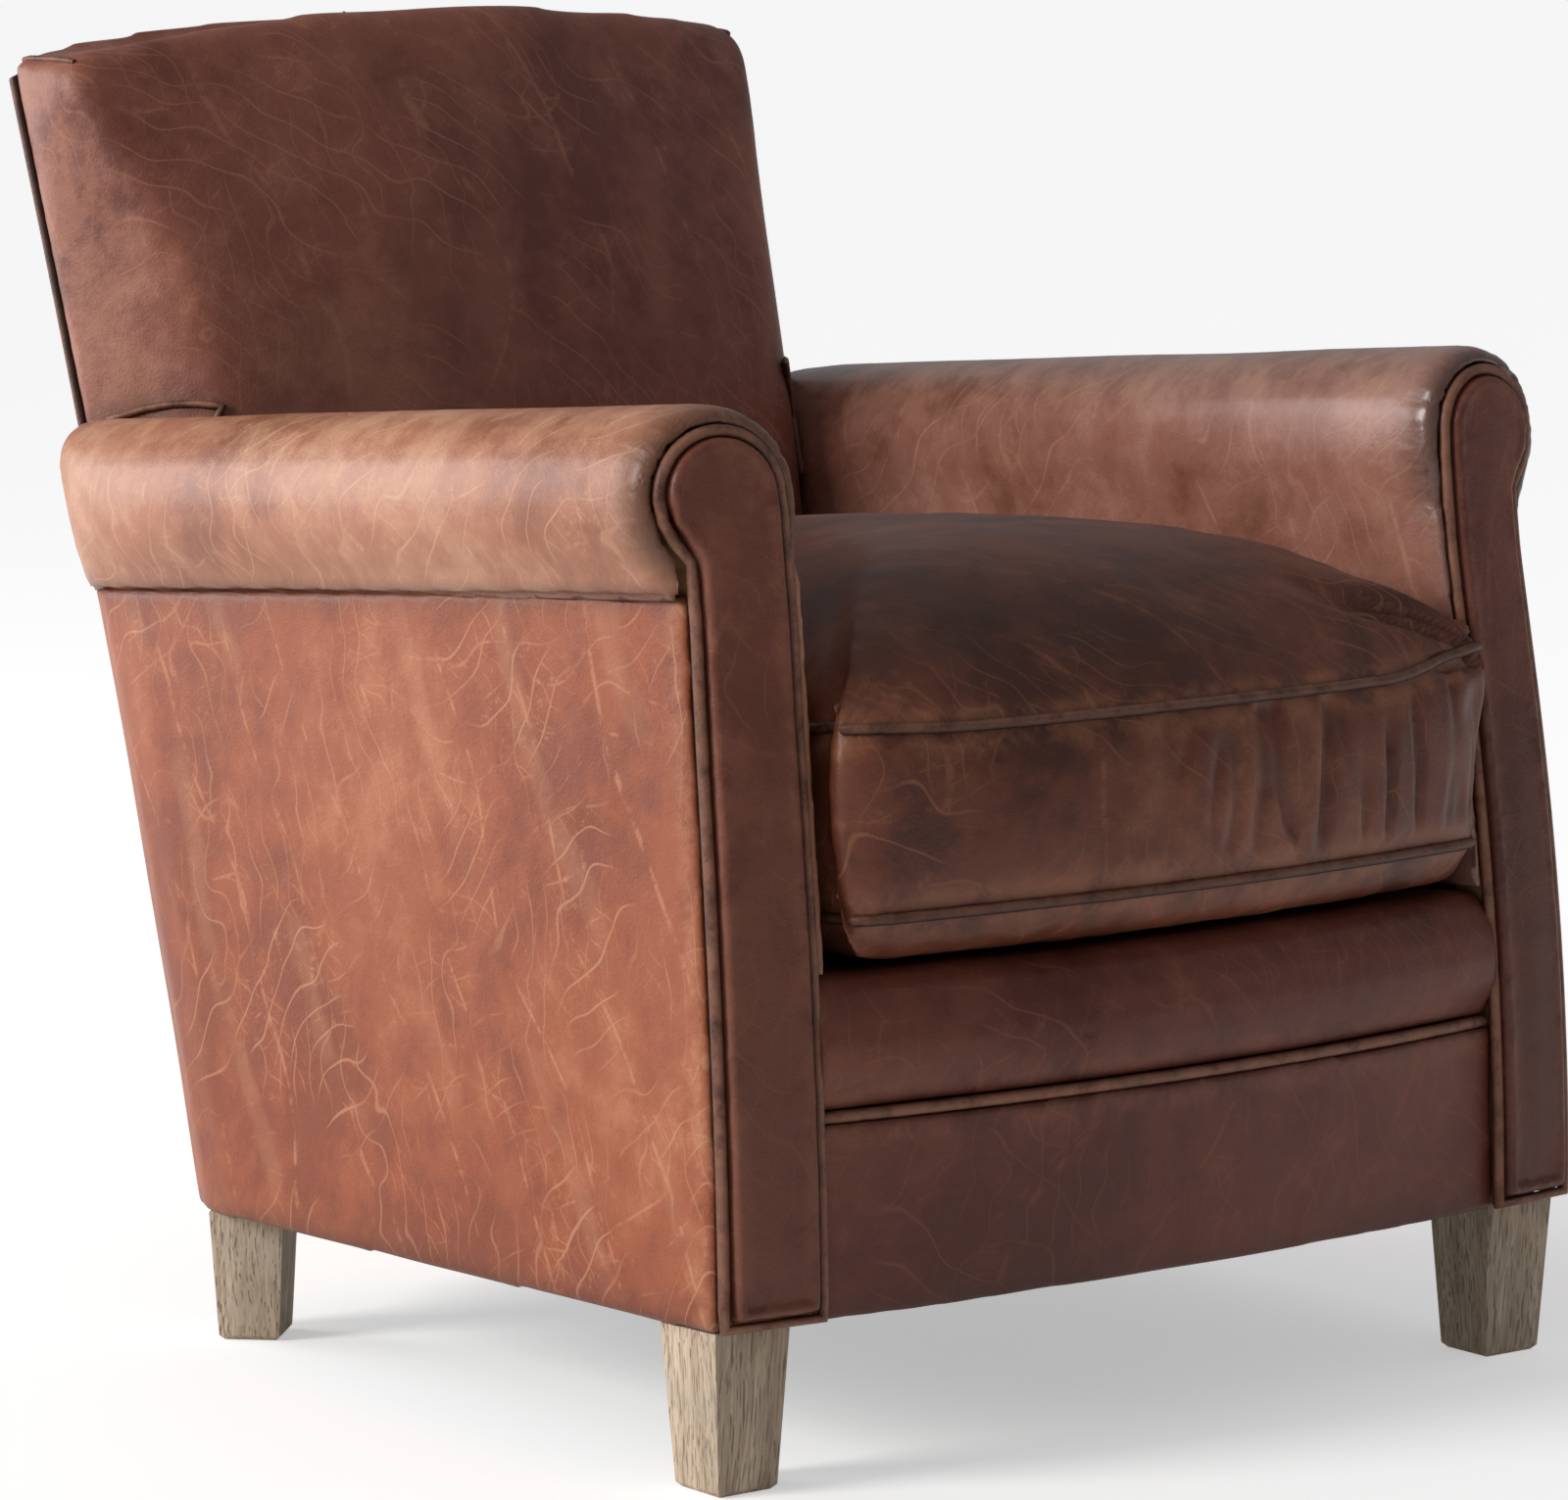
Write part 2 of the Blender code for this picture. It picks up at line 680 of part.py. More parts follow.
def make_arm_frame(side, name, parent, looks):
    """Front board, roll rail, rear stump and tacking rail of one arm."""
    rises = rung_rises(hem(0.0) + arm_board_inset, facing_scroll_radius - arm_board_inset, 12)
    front, back = [], []
    for rise in rises:
        inner, outer = facing_edges(rise, arm_board_inset)
        columns = [inner, (inner + outer) / 2, outer]
        front.append([(x, front_run(x, rise) + facing_depth + board_clearance, rise) for x in columns])
        behind = front_run(scroll_x, rise) + facing_depth + arm_board_thickness
        back.append([(x, behind, rise) for x in columns])
    add_mesh("arm_board_" + name, *slab(front, back), looks["wood"], parent, side)
    board_back = front_run(scroll_x, arm_rail_rise + arm_rail_height) + facing_depth + arm_board_thickness
    x_range = (arm_rail_inner_x, arm_rail_inner_x + arm_rail_width)
    end = roll_end_run(arm_rail_inner_x + arm_rail_width, arm_rail_rise) - arm_padding - arm_rail_end_set
    add_mesh("arm_rail_" + name, *box(x_range, (board_back + gap, end),
                                      (arm_rail_rise, arm_rail_rise + arm_rail_height)),
             looks["wood"], parent, side)
    stump_foot = hem(stump_back_run) + block_height + gap
    add_mesh("arm_stump_" + name, *box((stump_inner_x, stump_outer_x), (stump_front_run, stump_back_run),
                                       (stump_foot, arm_rail_rise - gap)), looks["wood"], parent, side)
    board_back = front_run(scroll_x, tack_rail_rise + tack_rail_height) + facing_depth + arm_board_thickness
    inner = roll_edges(tack_rail_rise, arm_padding)[0] + gap
    add_mesh("arm_tack_rail_" + name, *box((inner, tack_rail_outer_x),
                                           (board_back + gap, stump_front_run - gap),
                                           (tack_rail_rise, tack_rail_rise + tack_rail_height)),
             looks["wood"], parent, side)


def apron_run(x, rise):
    """Run of the front rail's leather, bowed forwards and more so towards its top."""
    bow = apron_bow + apron_bow_growth * rise
    return apron_end_run - apron_end_lean * rise - bow * (1 - (x / facing_foot_inner) ** 2)


def across(half, steps):
    return [half * (2 * i / steps - 1) for i in range(steps + 1)]


def make_front(parent, looks):
    """Bowed front rail, its apron and welt, and the padded lip roll over it."""
    front, back = [], []
    rail_rings, lip_rings, welt_path = [], [], []
    for level in range(4):
        rise = apron_foot_rise + (apron_top_rise - apron_foot_rise) * level / 3
        half = facing_edges(rise, 0.0)[0] - 2 * gap
        front.append([(x, apron_run(x, rise), rise) for x in across(half, 10)])
        back.append([(x, apron_run(x, rise) + leather, rise) for x in across(half, 10)])
    add_mesh("front_apron", *slab(front, back), looks["dark"], parent)
    half = facing_foot_inner - rail_end_clearance
    for x in across(half, 10):
        ring = [(x, front_rail_back_run, hem(front_rail_back_run)), (x, front_rail_back_run, seat_rail_rise)]
        for level in (3, 2, 1, 0):
            rise = apron_foot_rise + (seat_rail_rise - apron_foot_rise) * level / 3
            ring.append((x, apron_run(x, rise) + leather + rail_clearance, rise))
        rail_rings.append(ring)
    add_mesh("front_rail", *loft(rail_rings), looks["wood"], parent)
    welt_rise = apron_top_rise + gap + welt_radius
    welt_half = facing_edges(welt_rise, 0.0)[0] - 2 * gap
    for x in across(welt_half, 14):
        welt_path.append((x, apron_run(x, welt_rise) + welt_radius * 0.7, welt_rise))
    add_mesh("rail_welt", *tube(welt_path, welt_radius, 6), looks["welt"], parent)
    foot = welt_rise + welt_radius + gap
    lip_half = facing_edges(lip_top_rise, 0.0)[0] - 3 * gap
    for x in across(lip_half, 12):
        lip_rings.append(lip_section(x, foot))
    add_mesh("front_lip", *loft(lip_rings), looks["dark"], parent)


def lip_section(x, foot):
    """Rounded section of the padded lip over the front rail."""
    front = apron_run(x, foot) + lip_front_set
    height = lip_top_rise - foot
    section = [(front_rail_back_run, foot), (front + lip_foot_set, foot)]
    for angle in (200, 180, 155, 130, 110, 90):
        turn = math.radians(angle)
        run = front - lip_bulge + lip_radius * (1 + math.cos(turn))
        rise = foot + height * (lip_centre_share + (1 - lip_centre_share) * math.sin(turn))
        section.append((run, rise))
    section.append((front_rail_back_run, lip_top_rise))
    return [(x, run, rise) for run, rise in section]


def make_seat_frame(parent, looks):
    """Side and back seat rails, corner blocks, posts and cross rails of the back."""
    rear = back_run(seat_frame_rear_rise) - leather - 2 * gap
    outer = side_rail_inner_x + rail_thickness
    for side, name in ((-1, "left"), (1, "right")):
        outline = [(side_rail_inner_x, front_rail_back_run + gap), (outer, front_rail_back_run + gap),
                   (outer, rear - side_rail_outer_set),
                   (side_rail_inner_x, rear - side_rail_inner_set)]
        add_mesh("side_rail_" + name, *plan_prism(outline, hem, lambda run: deck_rail_rise),
                 looks["wood"], parent, side)
        make_post(side, name, parent, looks)
        make_blocks(side, name, outer, parent, looks)
    cross = post_inner_x - gap
    add_mesh("back_rail", *back_bar(cross, hem(rear), seat_rail_rise), looks["wood"], parent)
    add_mesh("back_lower_rail",
             *back_bar(cross, lower_back_rail_rise, lower_back_rail_rise + lower_back_rail_height),
             looks["wood"], parent)
    add_mesh("back_top_rail", *back_bar(cross, post_top_rise - top_rail_height, post_top_rise),
             looks["wood"], parent)


def post_rear(rise):
    return back_run(rise) - leather - 3 * gap


def back_bar(half, low, high):
    """A cross rail that follows the slope of the posts."""
    rings = []
    for x in (-half, half):
        rings.append([(x, post_rear(low), low), (x, post_rear(high), high),
                      (x, post_rear(high) - post_thickness, high), (x, post_rear(low) - post_thickness, low)])
    return loft(rings)


def make_post(side, name, parent, looks):
    rises = [post_foot_rise] + back_levels(post_top_rise)[2:]
    rings = []
    for rise in rises:
        rear = post_rear(rise)
        front = rear - post_thickness
        rings.append([(post_inner_x, front, rise), (post_outer_x, front, rise),
                      (post_outer_x, rear, rise), (post_inner_x, rear, rise)])
    add_mesh("back_post_" + name, *loft(rings), looks["wood"], parent, side)


def make_blocks(side, name, rail_outer, parent, looks):
    """Corner blocks that take the leg bolts, the rear ones cut off to follow the rounded corner."""
    inner = rail_outer + gap
    board_back = front_run(scroll_x, 0.0) + facing_depth + arm_board_thickness + gap
    step_x = facing_foot_inner - rail_end_clearance + gap
    rail_back = front_rail_back_run + gap
    front = [(inner, rail_back), (step_x, rail_back), (step_x, board_back), (block_outer_x, board_back),
             (block_outer_x, front_block_back_run), (inner, front_block_back_run)]
    start, side_out = back_block_front_run, block_outer_x - back_block_outer_set
    cut_corner = (block_outer_x - back_block_cut_in, start + back_block_cut_run)
    back = [(inner, start), (side_out, start), (side_out, start + back_block_straight), cut_corner,
            (inner, start + back_block_length)]
    places = {"front": (front, front_leg_x, front_leg_run), "back": (back, back_leg_x, back_leg_run)}
    for end, (outline, leg_x, leg_run) in places.items():
        block = add_mesh("corner_block_" + end + "_" + name,
                         *plan_prism(outline, hem, lambda run: hem(run) + block_height),
                         looks["wood"], parent, side)
        hole = add_mesh("bolt_hole_guide_" + end + "_" + name,
                        *bolt_solid(bolt_radius + gap, bolt_hole_reach, bolt_hole_reach),
                        looks["steel"], parent)
        hole.matrix_parent_inverse = parent.matrix_world.inverted()
        hole.location = leg_place(side * leg_x, leg_run)
        cut(block, hole)


def bolt_solid(radius, up, down):
    rings = []
    for rise in (-down, up):
        rings.append([(radius * math.cos(a), radius * math.sin(a), rise)
                      for a in (2 * math.pi * k / 12 for k in range(12))])
    return loft(rings)


def body_matrix():
    """The body's lean on its legs, with the hem's front edge over the chair's own origin."""
    return Matrix.Translation((0.0, 0.0, hem_height)) @ Matrix.Rotation(-rake, 4, "X")


def leg_place(x, run):
    """Middle of a leg's top face, just under the hem."""
    return body_matrix() @ Vector((x, run, hem(run) - gap))


def make_leg(name, x, run, top, foot, turn, parent, looks):
    """Square tapered oak leg, its top cut to the slope of the hem, with a bolt in it."""
    place = leg_place(x, run)
    slope = math.tan(math.atan(hem_slope) - rake)
    spin = Matrix.Rotation(turn, 3, "Z")
    corners = [spin @ Vector((sx, sy, 0.0)) for sx, sy in ((-1, -1), (1, -1), (1, 1), (-1, 1))]
    half = foot / 2
    sole = [(c.x * (half - leg_arris), c.y * (half - leg_arris), -place.z) for c in corners]
    foot_edge = [(c.x * half, c.y * half, leg_arris - place.z) for c in corners]
    head = [(c.x * top / 2, c.y * top / 2, c.y * top / 2 * slope) for c in corners]
    leg = add_mesh("leg_" + name, *loft([sole, foot_edge, head]), looks["oak"], parent)
    hole = add_mesh("leg_hole_guide_" + name,
                    *bolt_solid(bolt_radius + gap, bolt_hole_lead, bolt_in_leg + gap),
                    looks["steel"], parent)
    cut(leg, hole)
    bolt = add_mesh("leg_bolt_" + name, *bolt_solid(bolt_radius, bolt_in_block, bolt_in_leg),
                    looks["steel"], parent)
    for piece in (leg, hole, bolt):
        piece.location = place


def make_springs(parent, looks):
    """Sinuous wire springs from the front rail to the back rail, crowned in the middle."""
    start = front_rail_back_run - spring_front_hold
    end = post_rear(seat_rail_rise) - spring_rear_hold
    rest = seat_rail_rise + spring_wire_radius + gap
    length = end - start
    half_waves = 2 * spring_waves
    pitch = length / half_waves
    reach_x = deck_half_width - spring_edge_set
    for number in range(1, spring_count + 1):
        centre = reach_x * (2 * (number - 1) / (spring_count - 1) - 1)
        path = []
        for i in range(half_waves):
            swing = spring_half_width if i % 2 else -spring_half_width
            for share in (0.12, 0.5, 0.88):
                reach = 1.0 if share == 0.5 else 0.82
                run = start + pitch * (i + share)
                t = (run - start) / length
                path.append((centre + swing * reach, run, rest + spring_crown * math.sin(math.pi * t) ** 2))
        add_mesh("seat_spring_" + str(number), *tube(path, spring_wire_radius, 5), looks["steel"], parent)


def make_webbing(parent, looks):
    low = lower_back_rail_rise + webbing_end_set
    high = post_top_rise - webbing_end_set
    for number, centre in enumerate(webbing_x, 1):
        front, back = [], []
        for i in range(6):
            rise = low + (high - low) * i / 5
            run = post_rear(rise) - post_thickness - gap
            edges = (centre - webbing_width / 2, centre + webbing_width / 2)
            front.append([(x, run - webbing_thickness, rise) for x in edges])
            back.append([(x, run, rise) for x in edges])
        add_mesh("back_webbing_" + str(number), *slab(front, back), looks["webbing"], parent)


def make_deck(parent, looks):
    """Padded platform that the seat cushion lies on."""
    front = front_rail_back_run + gap
    crest = seat_rail_rise + 2 * spring_wire_radius + spring_crown + 2 * gap
    foot = max(deck_rail_rise + gap, crest)
    add_mesh("seat_deck", *box((-deck_half_width, deck_half_width), (front, deck_back_run),
                               (foot, deck_top_rise)), looks["canvas"], parent)


def make_dust_cover(parent, looks):
    """Thin black cloth under the frame, cut round the legs."""
    clear = dust_cover_clear
    front_in = front_leg_x - leg_top / 2 - clear
    front_end = front_leg_run + leg_top / 2 + clear
    reach = back_leg_top / math.sqrt(2)
    back_in = back_leg_x - reach - clear
    back_start = back_leg_run - reach - clear
    half = dust_cover_half_width
    back_end = back_run(dust_cover_back_rise) - dust_cover_back_set
    right = [(front_in, dust_cover_front_run), (front_in, front_end), (half, front_end), (half, back_start),
             (back_in, back_start), (back_in, back_end)]
    outline = right + [(-x, run) for x, run in reversed(right)]
    add_mesh("dust_cover", *plan_prism(outline, lambda run: hem(run) - gap - dust_cover_thickness,
                                       lambda run: hem(run) - gap), looks["dust"], parent)


def shell_columns(half):
    """Places across the outside back, closer together where it turns to the rounded corners."""
    flat = side_x - corner_radius
    right = [flat / 2, flat, (flat + half) / 2, half]
    return [-x for x in reversed(right)] + [0.0] + right


def back_levels(top):
    """Rises up the outside back, with one at each end of its shoulder."""
    foot = hem(back_run(0.0))
    low = [foot + (back_shoulder_low - foot) * i / 5 for i in range(6)]
    middle = (back_shoulder_low + back_shoulder_top) / 2
    high = [back_shoulder_top + (top - back_shoulder_top) * i / 5 for i in range(6)]
    return low + [middle] + high


def back_welt_point(x, rise):
    level = rise - crown_drop(x, rise)
    return (x, shell_run(x, level) - slim_welt_radius, level)


def make_back(parent, looks):
    """Foam-filled inside back, the outside back panel and the welt round it."""
    inside = add_mesh("inside_back", *inside_back_solid(), looks["dark"], parent)
    hollow = add_mesh("back_hollow_guide", *inside_back_hollow(), looks["dark"], parent)
    cut(inside, hollow)
    welt_top = back_top_rise - back_welt_drop
    panel_top = welt_top - slim_welt_radius - 2 * gap
    front, back = [], []
    for rise in back_levels(panel_top):
        half = back_welt_x(rise) - slim_welt_radius - 2 * gap
        outer_row, inner_row = [], []
        for x in shell_columns(half):
            level = rise - crown_drop(x, rise)
            outer_row.append((x, shell_run(x, level), level))
            inner_row.append((x, shell_run(x, level) - leather, level))
        front.append(outer_row)
        back.append(inner_row)
    add_mesh("outside_back", *slab(front, back), looks["tan"], parent)
    side = [back_welt_point(back_welt_x(rise), rise) for rise in back_levels(welt_top)]
    across_top = [back_welt_point(x, welt_top) for x in reversed(shell_columns(back_welt_top_x)[1:-1])]
    path = side + across_top + [(-x, run, rise) for x, run, rise in reversed(side)]
    add_mesh("back_welt", *tube(path, slim_welt_radius, 6), looks["welt"], parent)


def cushion_outline(inset):
    """Plan outline of the cushion, drawn in by the inset: bowed front and rounded corners."""
    radius = cushion_corner_radius
    points = []
    for turn in (0, 22, 45, 68, 90):
        angle = math.radians(turn)
        x = cushion_half_width - radius + radius * math.cos(angle)
        points.append((x, cushion_back_run - radius + radius * math.sin(angle)))
    straight = [(cushion_half_width, run) for run in (cushion_straight_front, cushion_straight_back)]
    points = straight + points + [(cushion_back_straight_x, cushion_back_run)]
    front = []
    for x_share in (0.0, 0.3, 0.6, 0.82):
        x = cushion_front_half_width * x_share
        front.append((x, cushion_front_run - cushion_front_bow * (1 - x_share ** 2)))
    ear = cushion_front_half_width
    front += [(ear * 0.96, cushion_front_run + 0.001), (ear, cushion_front_run + 0.010),
              (cushion_half_width + 0.004, cushion_front_run + 0.023),
              (cushion_half_width + 0.001, 0.02), (cushion_half_width, 0.08)]
    right = front + points
    loop = right + [(0.0, cushion_back_run)] + [(-x, run) for x, run in reversed(right[1:])]
    edge = min(inset, 0.02)
    loop = draw_in(loop, edge)
    centre_run = (cushion_back_run + cushion_front_run) / 2
    length = cushion_back_run - cushion_front_run
    scale_x = 1 - (inset - edge) / cushion_half_width
    scale_run = 1 - 2 * (inset - edge) / length
    return [(x * scale_x, centre_run + (run - centre_run) * scale_run) for x, run in loop]


def draw_in(loop, inset):
    """A plan outline moved inwards along its own normals."""
    moved = []
    for i, (x, run) in enumerate(loop):
        ahead, behind = loop[(i + 1) % len(loop)], loop[i - 1]
        along = Vector((ahead[0] - behind[0], ahead[1] - behind[1])).normalized()
        moved.append((x - along.y * inset, run + along.x * inset))
    return moved


def ear_lift(x, run, rise):
    """The front corners of the cushion's top are drawn up into ears."""
    share = ease(rise, cushion_low_welt_rise, cushion_high_welt_rise)
    corner = ease(abs(x), cushion_front_half_width * 0.6, cushion_front_half_width)
    return cushion_ear_lift * share * corner * (1 - ease(run, cushion_front_run, 0.12))


def make_cushion(parent, looks):
    """Boxed cushion with a crowned top, grooved for the two welts."""
    groove = 2 * slim_welt_radius + welt_clearance
    low, high = cushion_low_welt_rise, cushion_high_welt_rise
    half = slim_welt_radius + gap
    foot, fall, edge = cushion_foot_rise, cushion_edge_fall, cushion_edge_set
    levels = [(cushion_foot_inset, foot), (cushion_foot_bulge_inset, foot + cushion_foot_bulge_rise),
              (groove, low - half), (groove, low + half), (edge, low + half + fall), (0.0, (low + high) / 2),
              (edge, high - half - fall), (groove, high - half), (groove, high + half)]
    rings = [[(x, run, rise + ear_lift(x, run, rise)) for x, run in cushion_outline(inset)]
             for inset, rise in levels]
    for inset, share in cushion_dome:
        rise = high + half + cushion_crown * share
        rings.append([(x, run, rise + ear_lift(x, run, high)) for x, run in cushion_outline(inset)])
    add_mesh("seat_cushion", *loft(rings), looks["dark"], parent)
    for label, rise in (("low", low), ("high", high)):
        outline = cushion_outline(slim_welt_radius - gap)
        path = [(x, run, rise + ear_lift(x, run, rise)) for x, run in outline]
        welt = tube(path, slim_welt_radius, 6, closed=True)
        add_mesh("cushion_welt_" + label, *welt, looks["welt"], parent)


def make_looks():
    return {
        "tan": new_material("Worn tan leather", (0.36, 0.13, 0.06), 0.45),
        "dark": new_material("Worn dark leather", (0.12, 0.045, 0.03), 0.4),
        "welt": new_material("Welt leather", (0.22, 0.09, 0.05), 0.45),
        "oak": new_material("Weathered oak", (0.33, 0.25, 0.18), 0.75),
        "wood": new_material("Frame beech", (0.55, 0.40, 0.24), 0.7),
        "steel": new_material("Spring steel", (0.35, 0.35, 0.36), 0.35, 1.0),
        "webbing": new_material("Jute webbing", (0.45, 0.36, 0.22), 0.9),
        "canvas": new_material("Deck canvas", (0.10, 0.06, 0.04), 0.85),
        "dust": new_material("Black dust cloth", (0.02, 0.02, 0.02), 0.9),
    }


def new_empty(name, parent=None):
    empty = bpy.data.objects.new(name, None)
    bpy.context.collection.objects.link(empty)
    empty.parent = parent
    return empty


def centre_front_to_back(chair):
    """Slide the chair along Y until its origin is under the middle of its length."""
    bpy.context.view_layer.update()
    pieces = [thing for thing in bpy.data.objects if thing.type == "MESH" and not thing.hide_render]
    lengths = [(piece.matrix_world @ vertex.co).y for piece in pieces for vertex in piece.data.vertices]
    chair.location.y = -(min(lengths) + max(lengths)) / 2


def main():
    for thing in list(bpy.data.objects):
        bpy.data.objects.remove(thing)
    looks = make_looks()
    chair = new_empty("chair")
    body = new_empty("body", chair)
    body.matrix_world = body_matrix()
    bpy.context.view_layer.update()
    make_seat_frame(body, looks)
    make_springs(body, looks)
    make_webbing(body, looks)
    make_deck(body, looks)
    make_front(body, looks)
    make_back(body, looks)
    for side, name in ((-1, "left"), (1, "right")):
        make_arm(side, name, body, looks)
        make_leg("front_" + name, side * front_leg_x, front_leg_run, leg_top, leg_foot, 0.0, chair, looks)
        make_leg("back_" + name, side * back_leg_x, back_leg_run, back_leg_top, back_leg_foot,
                 back_leg_turn, chair, looks)
    make_dust_cover(body, looks)
    make_cushion(body, looks)
    centre_front_to_back(chair)


main()
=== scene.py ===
import math
import bpy
from mathutils import Matrix, Vector, kdtree, noise
from mathutils.bvhtree import BVHTree


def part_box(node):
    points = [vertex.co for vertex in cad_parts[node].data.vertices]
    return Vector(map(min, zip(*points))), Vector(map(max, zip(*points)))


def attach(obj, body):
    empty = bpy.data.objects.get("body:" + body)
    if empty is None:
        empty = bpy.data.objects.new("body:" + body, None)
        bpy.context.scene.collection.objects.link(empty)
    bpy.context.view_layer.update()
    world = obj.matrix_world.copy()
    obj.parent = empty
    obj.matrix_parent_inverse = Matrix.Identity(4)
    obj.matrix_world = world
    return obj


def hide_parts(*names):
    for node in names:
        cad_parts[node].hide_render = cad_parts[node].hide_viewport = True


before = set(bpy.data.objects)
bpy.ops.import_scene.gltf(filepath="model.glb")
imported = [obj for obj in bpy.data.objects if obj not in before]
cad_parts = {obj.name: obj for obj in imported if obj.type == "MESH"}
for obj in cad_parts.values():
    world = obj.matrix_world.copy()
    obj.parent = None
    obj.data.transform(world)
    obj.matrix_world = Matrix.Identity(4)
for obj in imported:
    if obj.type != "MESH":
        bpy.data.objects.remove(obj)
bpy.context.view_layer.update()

# the body leans back on its legs; x goes across, run to the rear, rise up from the hem
stance = {"rake": math.radians(5.0), "hemHeight": 0.108, "hemSlope": 0.0594, "hemDrop": 0.004,
          "frontLegRun": 0.04118}

armShape = {
    "footInner": 0.270, "footOuter": 0.3435, "waistInner": 0.2615, "waistOuter": 0.332, "waistRise": 0.42,
    "pinch": 2.2, "scrollX": 0.3065, "scrollRise": 0.4985, "scrollRadius": 0.044, "rollRadius": 0.056,
    "outerBlend": 0.004, "frontReach": 0.0127, "frontReachRise": 0.167, "frontCurl": 0.24,
    "frontBlend": 0.08, "frontTurn": 0.16, "seamRise": 0.441, "rollEndSet": 0.016, "overhang": 0.008}

shell = {"sideX": 0.343, "corner": 0.12, "hemRun": 0.661, "slope": 0.165, "curve": 0.07, "swell": 0.007,
         "shoulderLow": 0.452, "shoulderTop": 0.50, "topRise": 0.8265, "crown": 0.028, "crownPower": 2.6,
         "halfWidth": 0.291, "weltLowX": 0.2715, "weltTopX": 0.287, "weltDrop": 0.014}

cushion = {"halfWidth": 0.249, "frontHalfWidth": 0.267, "frontRun": -0.036, "bow": 0.040, "backRun": 0.594,
           "corner": 0.045, "roundRadius": 0.042, "lowSeam": 0.2385, "highSeam": 0.350,
           "earLift": 0.014, "nearEarShare": 0.35, "earBack": 0.12, "earStart": 0.03,
           "pushNear": 0.009, "pushFar": 0.013, "pushFromX": 0.17, "pushFullX": 0.262}

apron = {"endRun": -0.002, "lean": 0.067, "bow": 0.022, "bowGrowth": 0.125, "topRise": 0.116}

piping = {"radius": 0.004, "slim": 0.0035, "junction": 0.0027, "shoulder": 0.0022, "forward": 0.003}

gap = 0.0003
pathSteps = 40


def middleOf(node):
    low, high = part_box(node)
    return (Vector(low) + Vector(high)) / 2


bodyY = middleOf("leg_front_left").y - stance["frontLegRun"]
bodyPlace = Matrix.Translation((0, bodyY, stance["hemHeight"])) @ Matrix.Rotation(-stance["rake"], 4, "X")
bodyUnplace = bodyPlace.inverted()


def ease(value, low, high):
    t = min(max((value - low) / (high - low), 0.0), 1.0)
    return t * t * (3 - 2 * t)


def softMax(a, b, blend):
    return (a + b + math.sqrt((a - b) ** 2 + blend ** 2)) / 2


def hemRise(run):
    return stance["hemSlope"] * run - stance["hemDrop"]


def armFrontRun(x, rise):
    s = armShape
    level = -softMax(-rise, -s["waistRise"], s["frontBlend"])
    curl = s["frontCurl"] * (level - s["frontReachRise"]) ** 2
    return curl - s["frontReach"] + s["frontTurn"] * (abs(x) - s["scrollX"])


def facingEdges(rise, inset):
    s = armShape
    pinch = min(max(rise, 0.0) / s["waistRise"], 1.0) ** s["pinch"]
    inner = s["footInner"] + (s["waistInner"] - s["footInner"]) * pinch + inset
    outer = s["footOuter"] + (s["waistOuter"] - s["footOuter"]) * pinch - inset
    half = math.sqrt(max((s["scrollRadius"] - inset) ** 2 - (rise - s["scrollRise"]) ** 2, 0.0))
    if rise >= s["scrollRise"]:
        return s["scrollX"] - half, s["scrollX"] + half
    return min(inner, s["scrollX"] - half), softMax(outer, s["scrollX"] + half, s["outerBlend"])


def backRun(rise):
    s = shell
    swell = s["swell"] * ease(rise, armShape["seamRise"], s["shoulderTop"])
    return s["hemRun"] + s["slope"] * rise + s["curve"] * rise ** 2 + swell


def shellRun(x, rise):
    s = shell
    past = max(abs(x) - (s["sideX"] - s["corner"]), 0.0)
    return backRun(rise) - s["corner"] + math.sqrt(s["corner"] ** 2 - past ** 2)


def crownDrop(x, rise):
    s = shell
    grown = ease(rise, s["shoulderTop"], s["topRise"])
    return grown * s["crown"] * abs(x / s["halfWidth"]) ** s["crownPower"]


def backWeltX(rise):
    s = shell
    return s["weltLowX"] + (s["weltTopX"] - s["weltLowX"]) * ease(rise, s["shoulderLow"], s["shoulderTop"])


def cushionLoop(inset):
    c, points = cushion, []
    half, radius, ear, front = c["halfWidth"], c["corner"], c["frontHalfWidth"], c["frontRun"]
    for i in range(13):
        share = i / 12 * 0.93
        points.append((ear * share, c["frontRun"] - c["bow"] * (1 - share ** 2)))
    points += [(ear * 0.985, front + 0.004), (ear - 0.001, front + 0.013), (half + 0.006, front + 0.027)]
    points += [(half + 0.002, 0.02), (half, 0.06), (half, 0.14), (half, 0.24), (half, 0.34), (half, 0.44)]
    for i in range(7):
        turn = math.pi / 2 * i / 6
        x, run = half - radius + radius * math.cos(turn), c["backRun"] - radius + radius * math.sin(turn)
        points.append((x, run))
    points += [(0.13, c["backRun"]), (0.065, c["backRun"])]
    loop = points + [(0.0, c["backRun"])] + [(-x, run) for x, run in reversed(points[1:])]
    moved = []
    for i, (x, run) in enumerate(loop):
        ahead, behind = loop[(i + 1) % len(loop)], loop[i - 1]
        along = Vector((ahead[0] - behind[0], ahead[1] - behind[1])).normalized()
        moved.append((x - along.y * inset, run + along.x * inset))
    return moved


def earLift(x, run, rise):
    c = cushion
    share = ease(rise, c["lowSeam"], c["highSeam"]) * (1.0 if x > 0 else c["nearEarShare"])
    outwards = ease(abs(x), c["frontHalfWidth"] * 0.6, c["frontHalfWidth"])
    return c["earLift"] * share * outwards * (1 - ease(run, c["frontRun"], c["earBack"]))


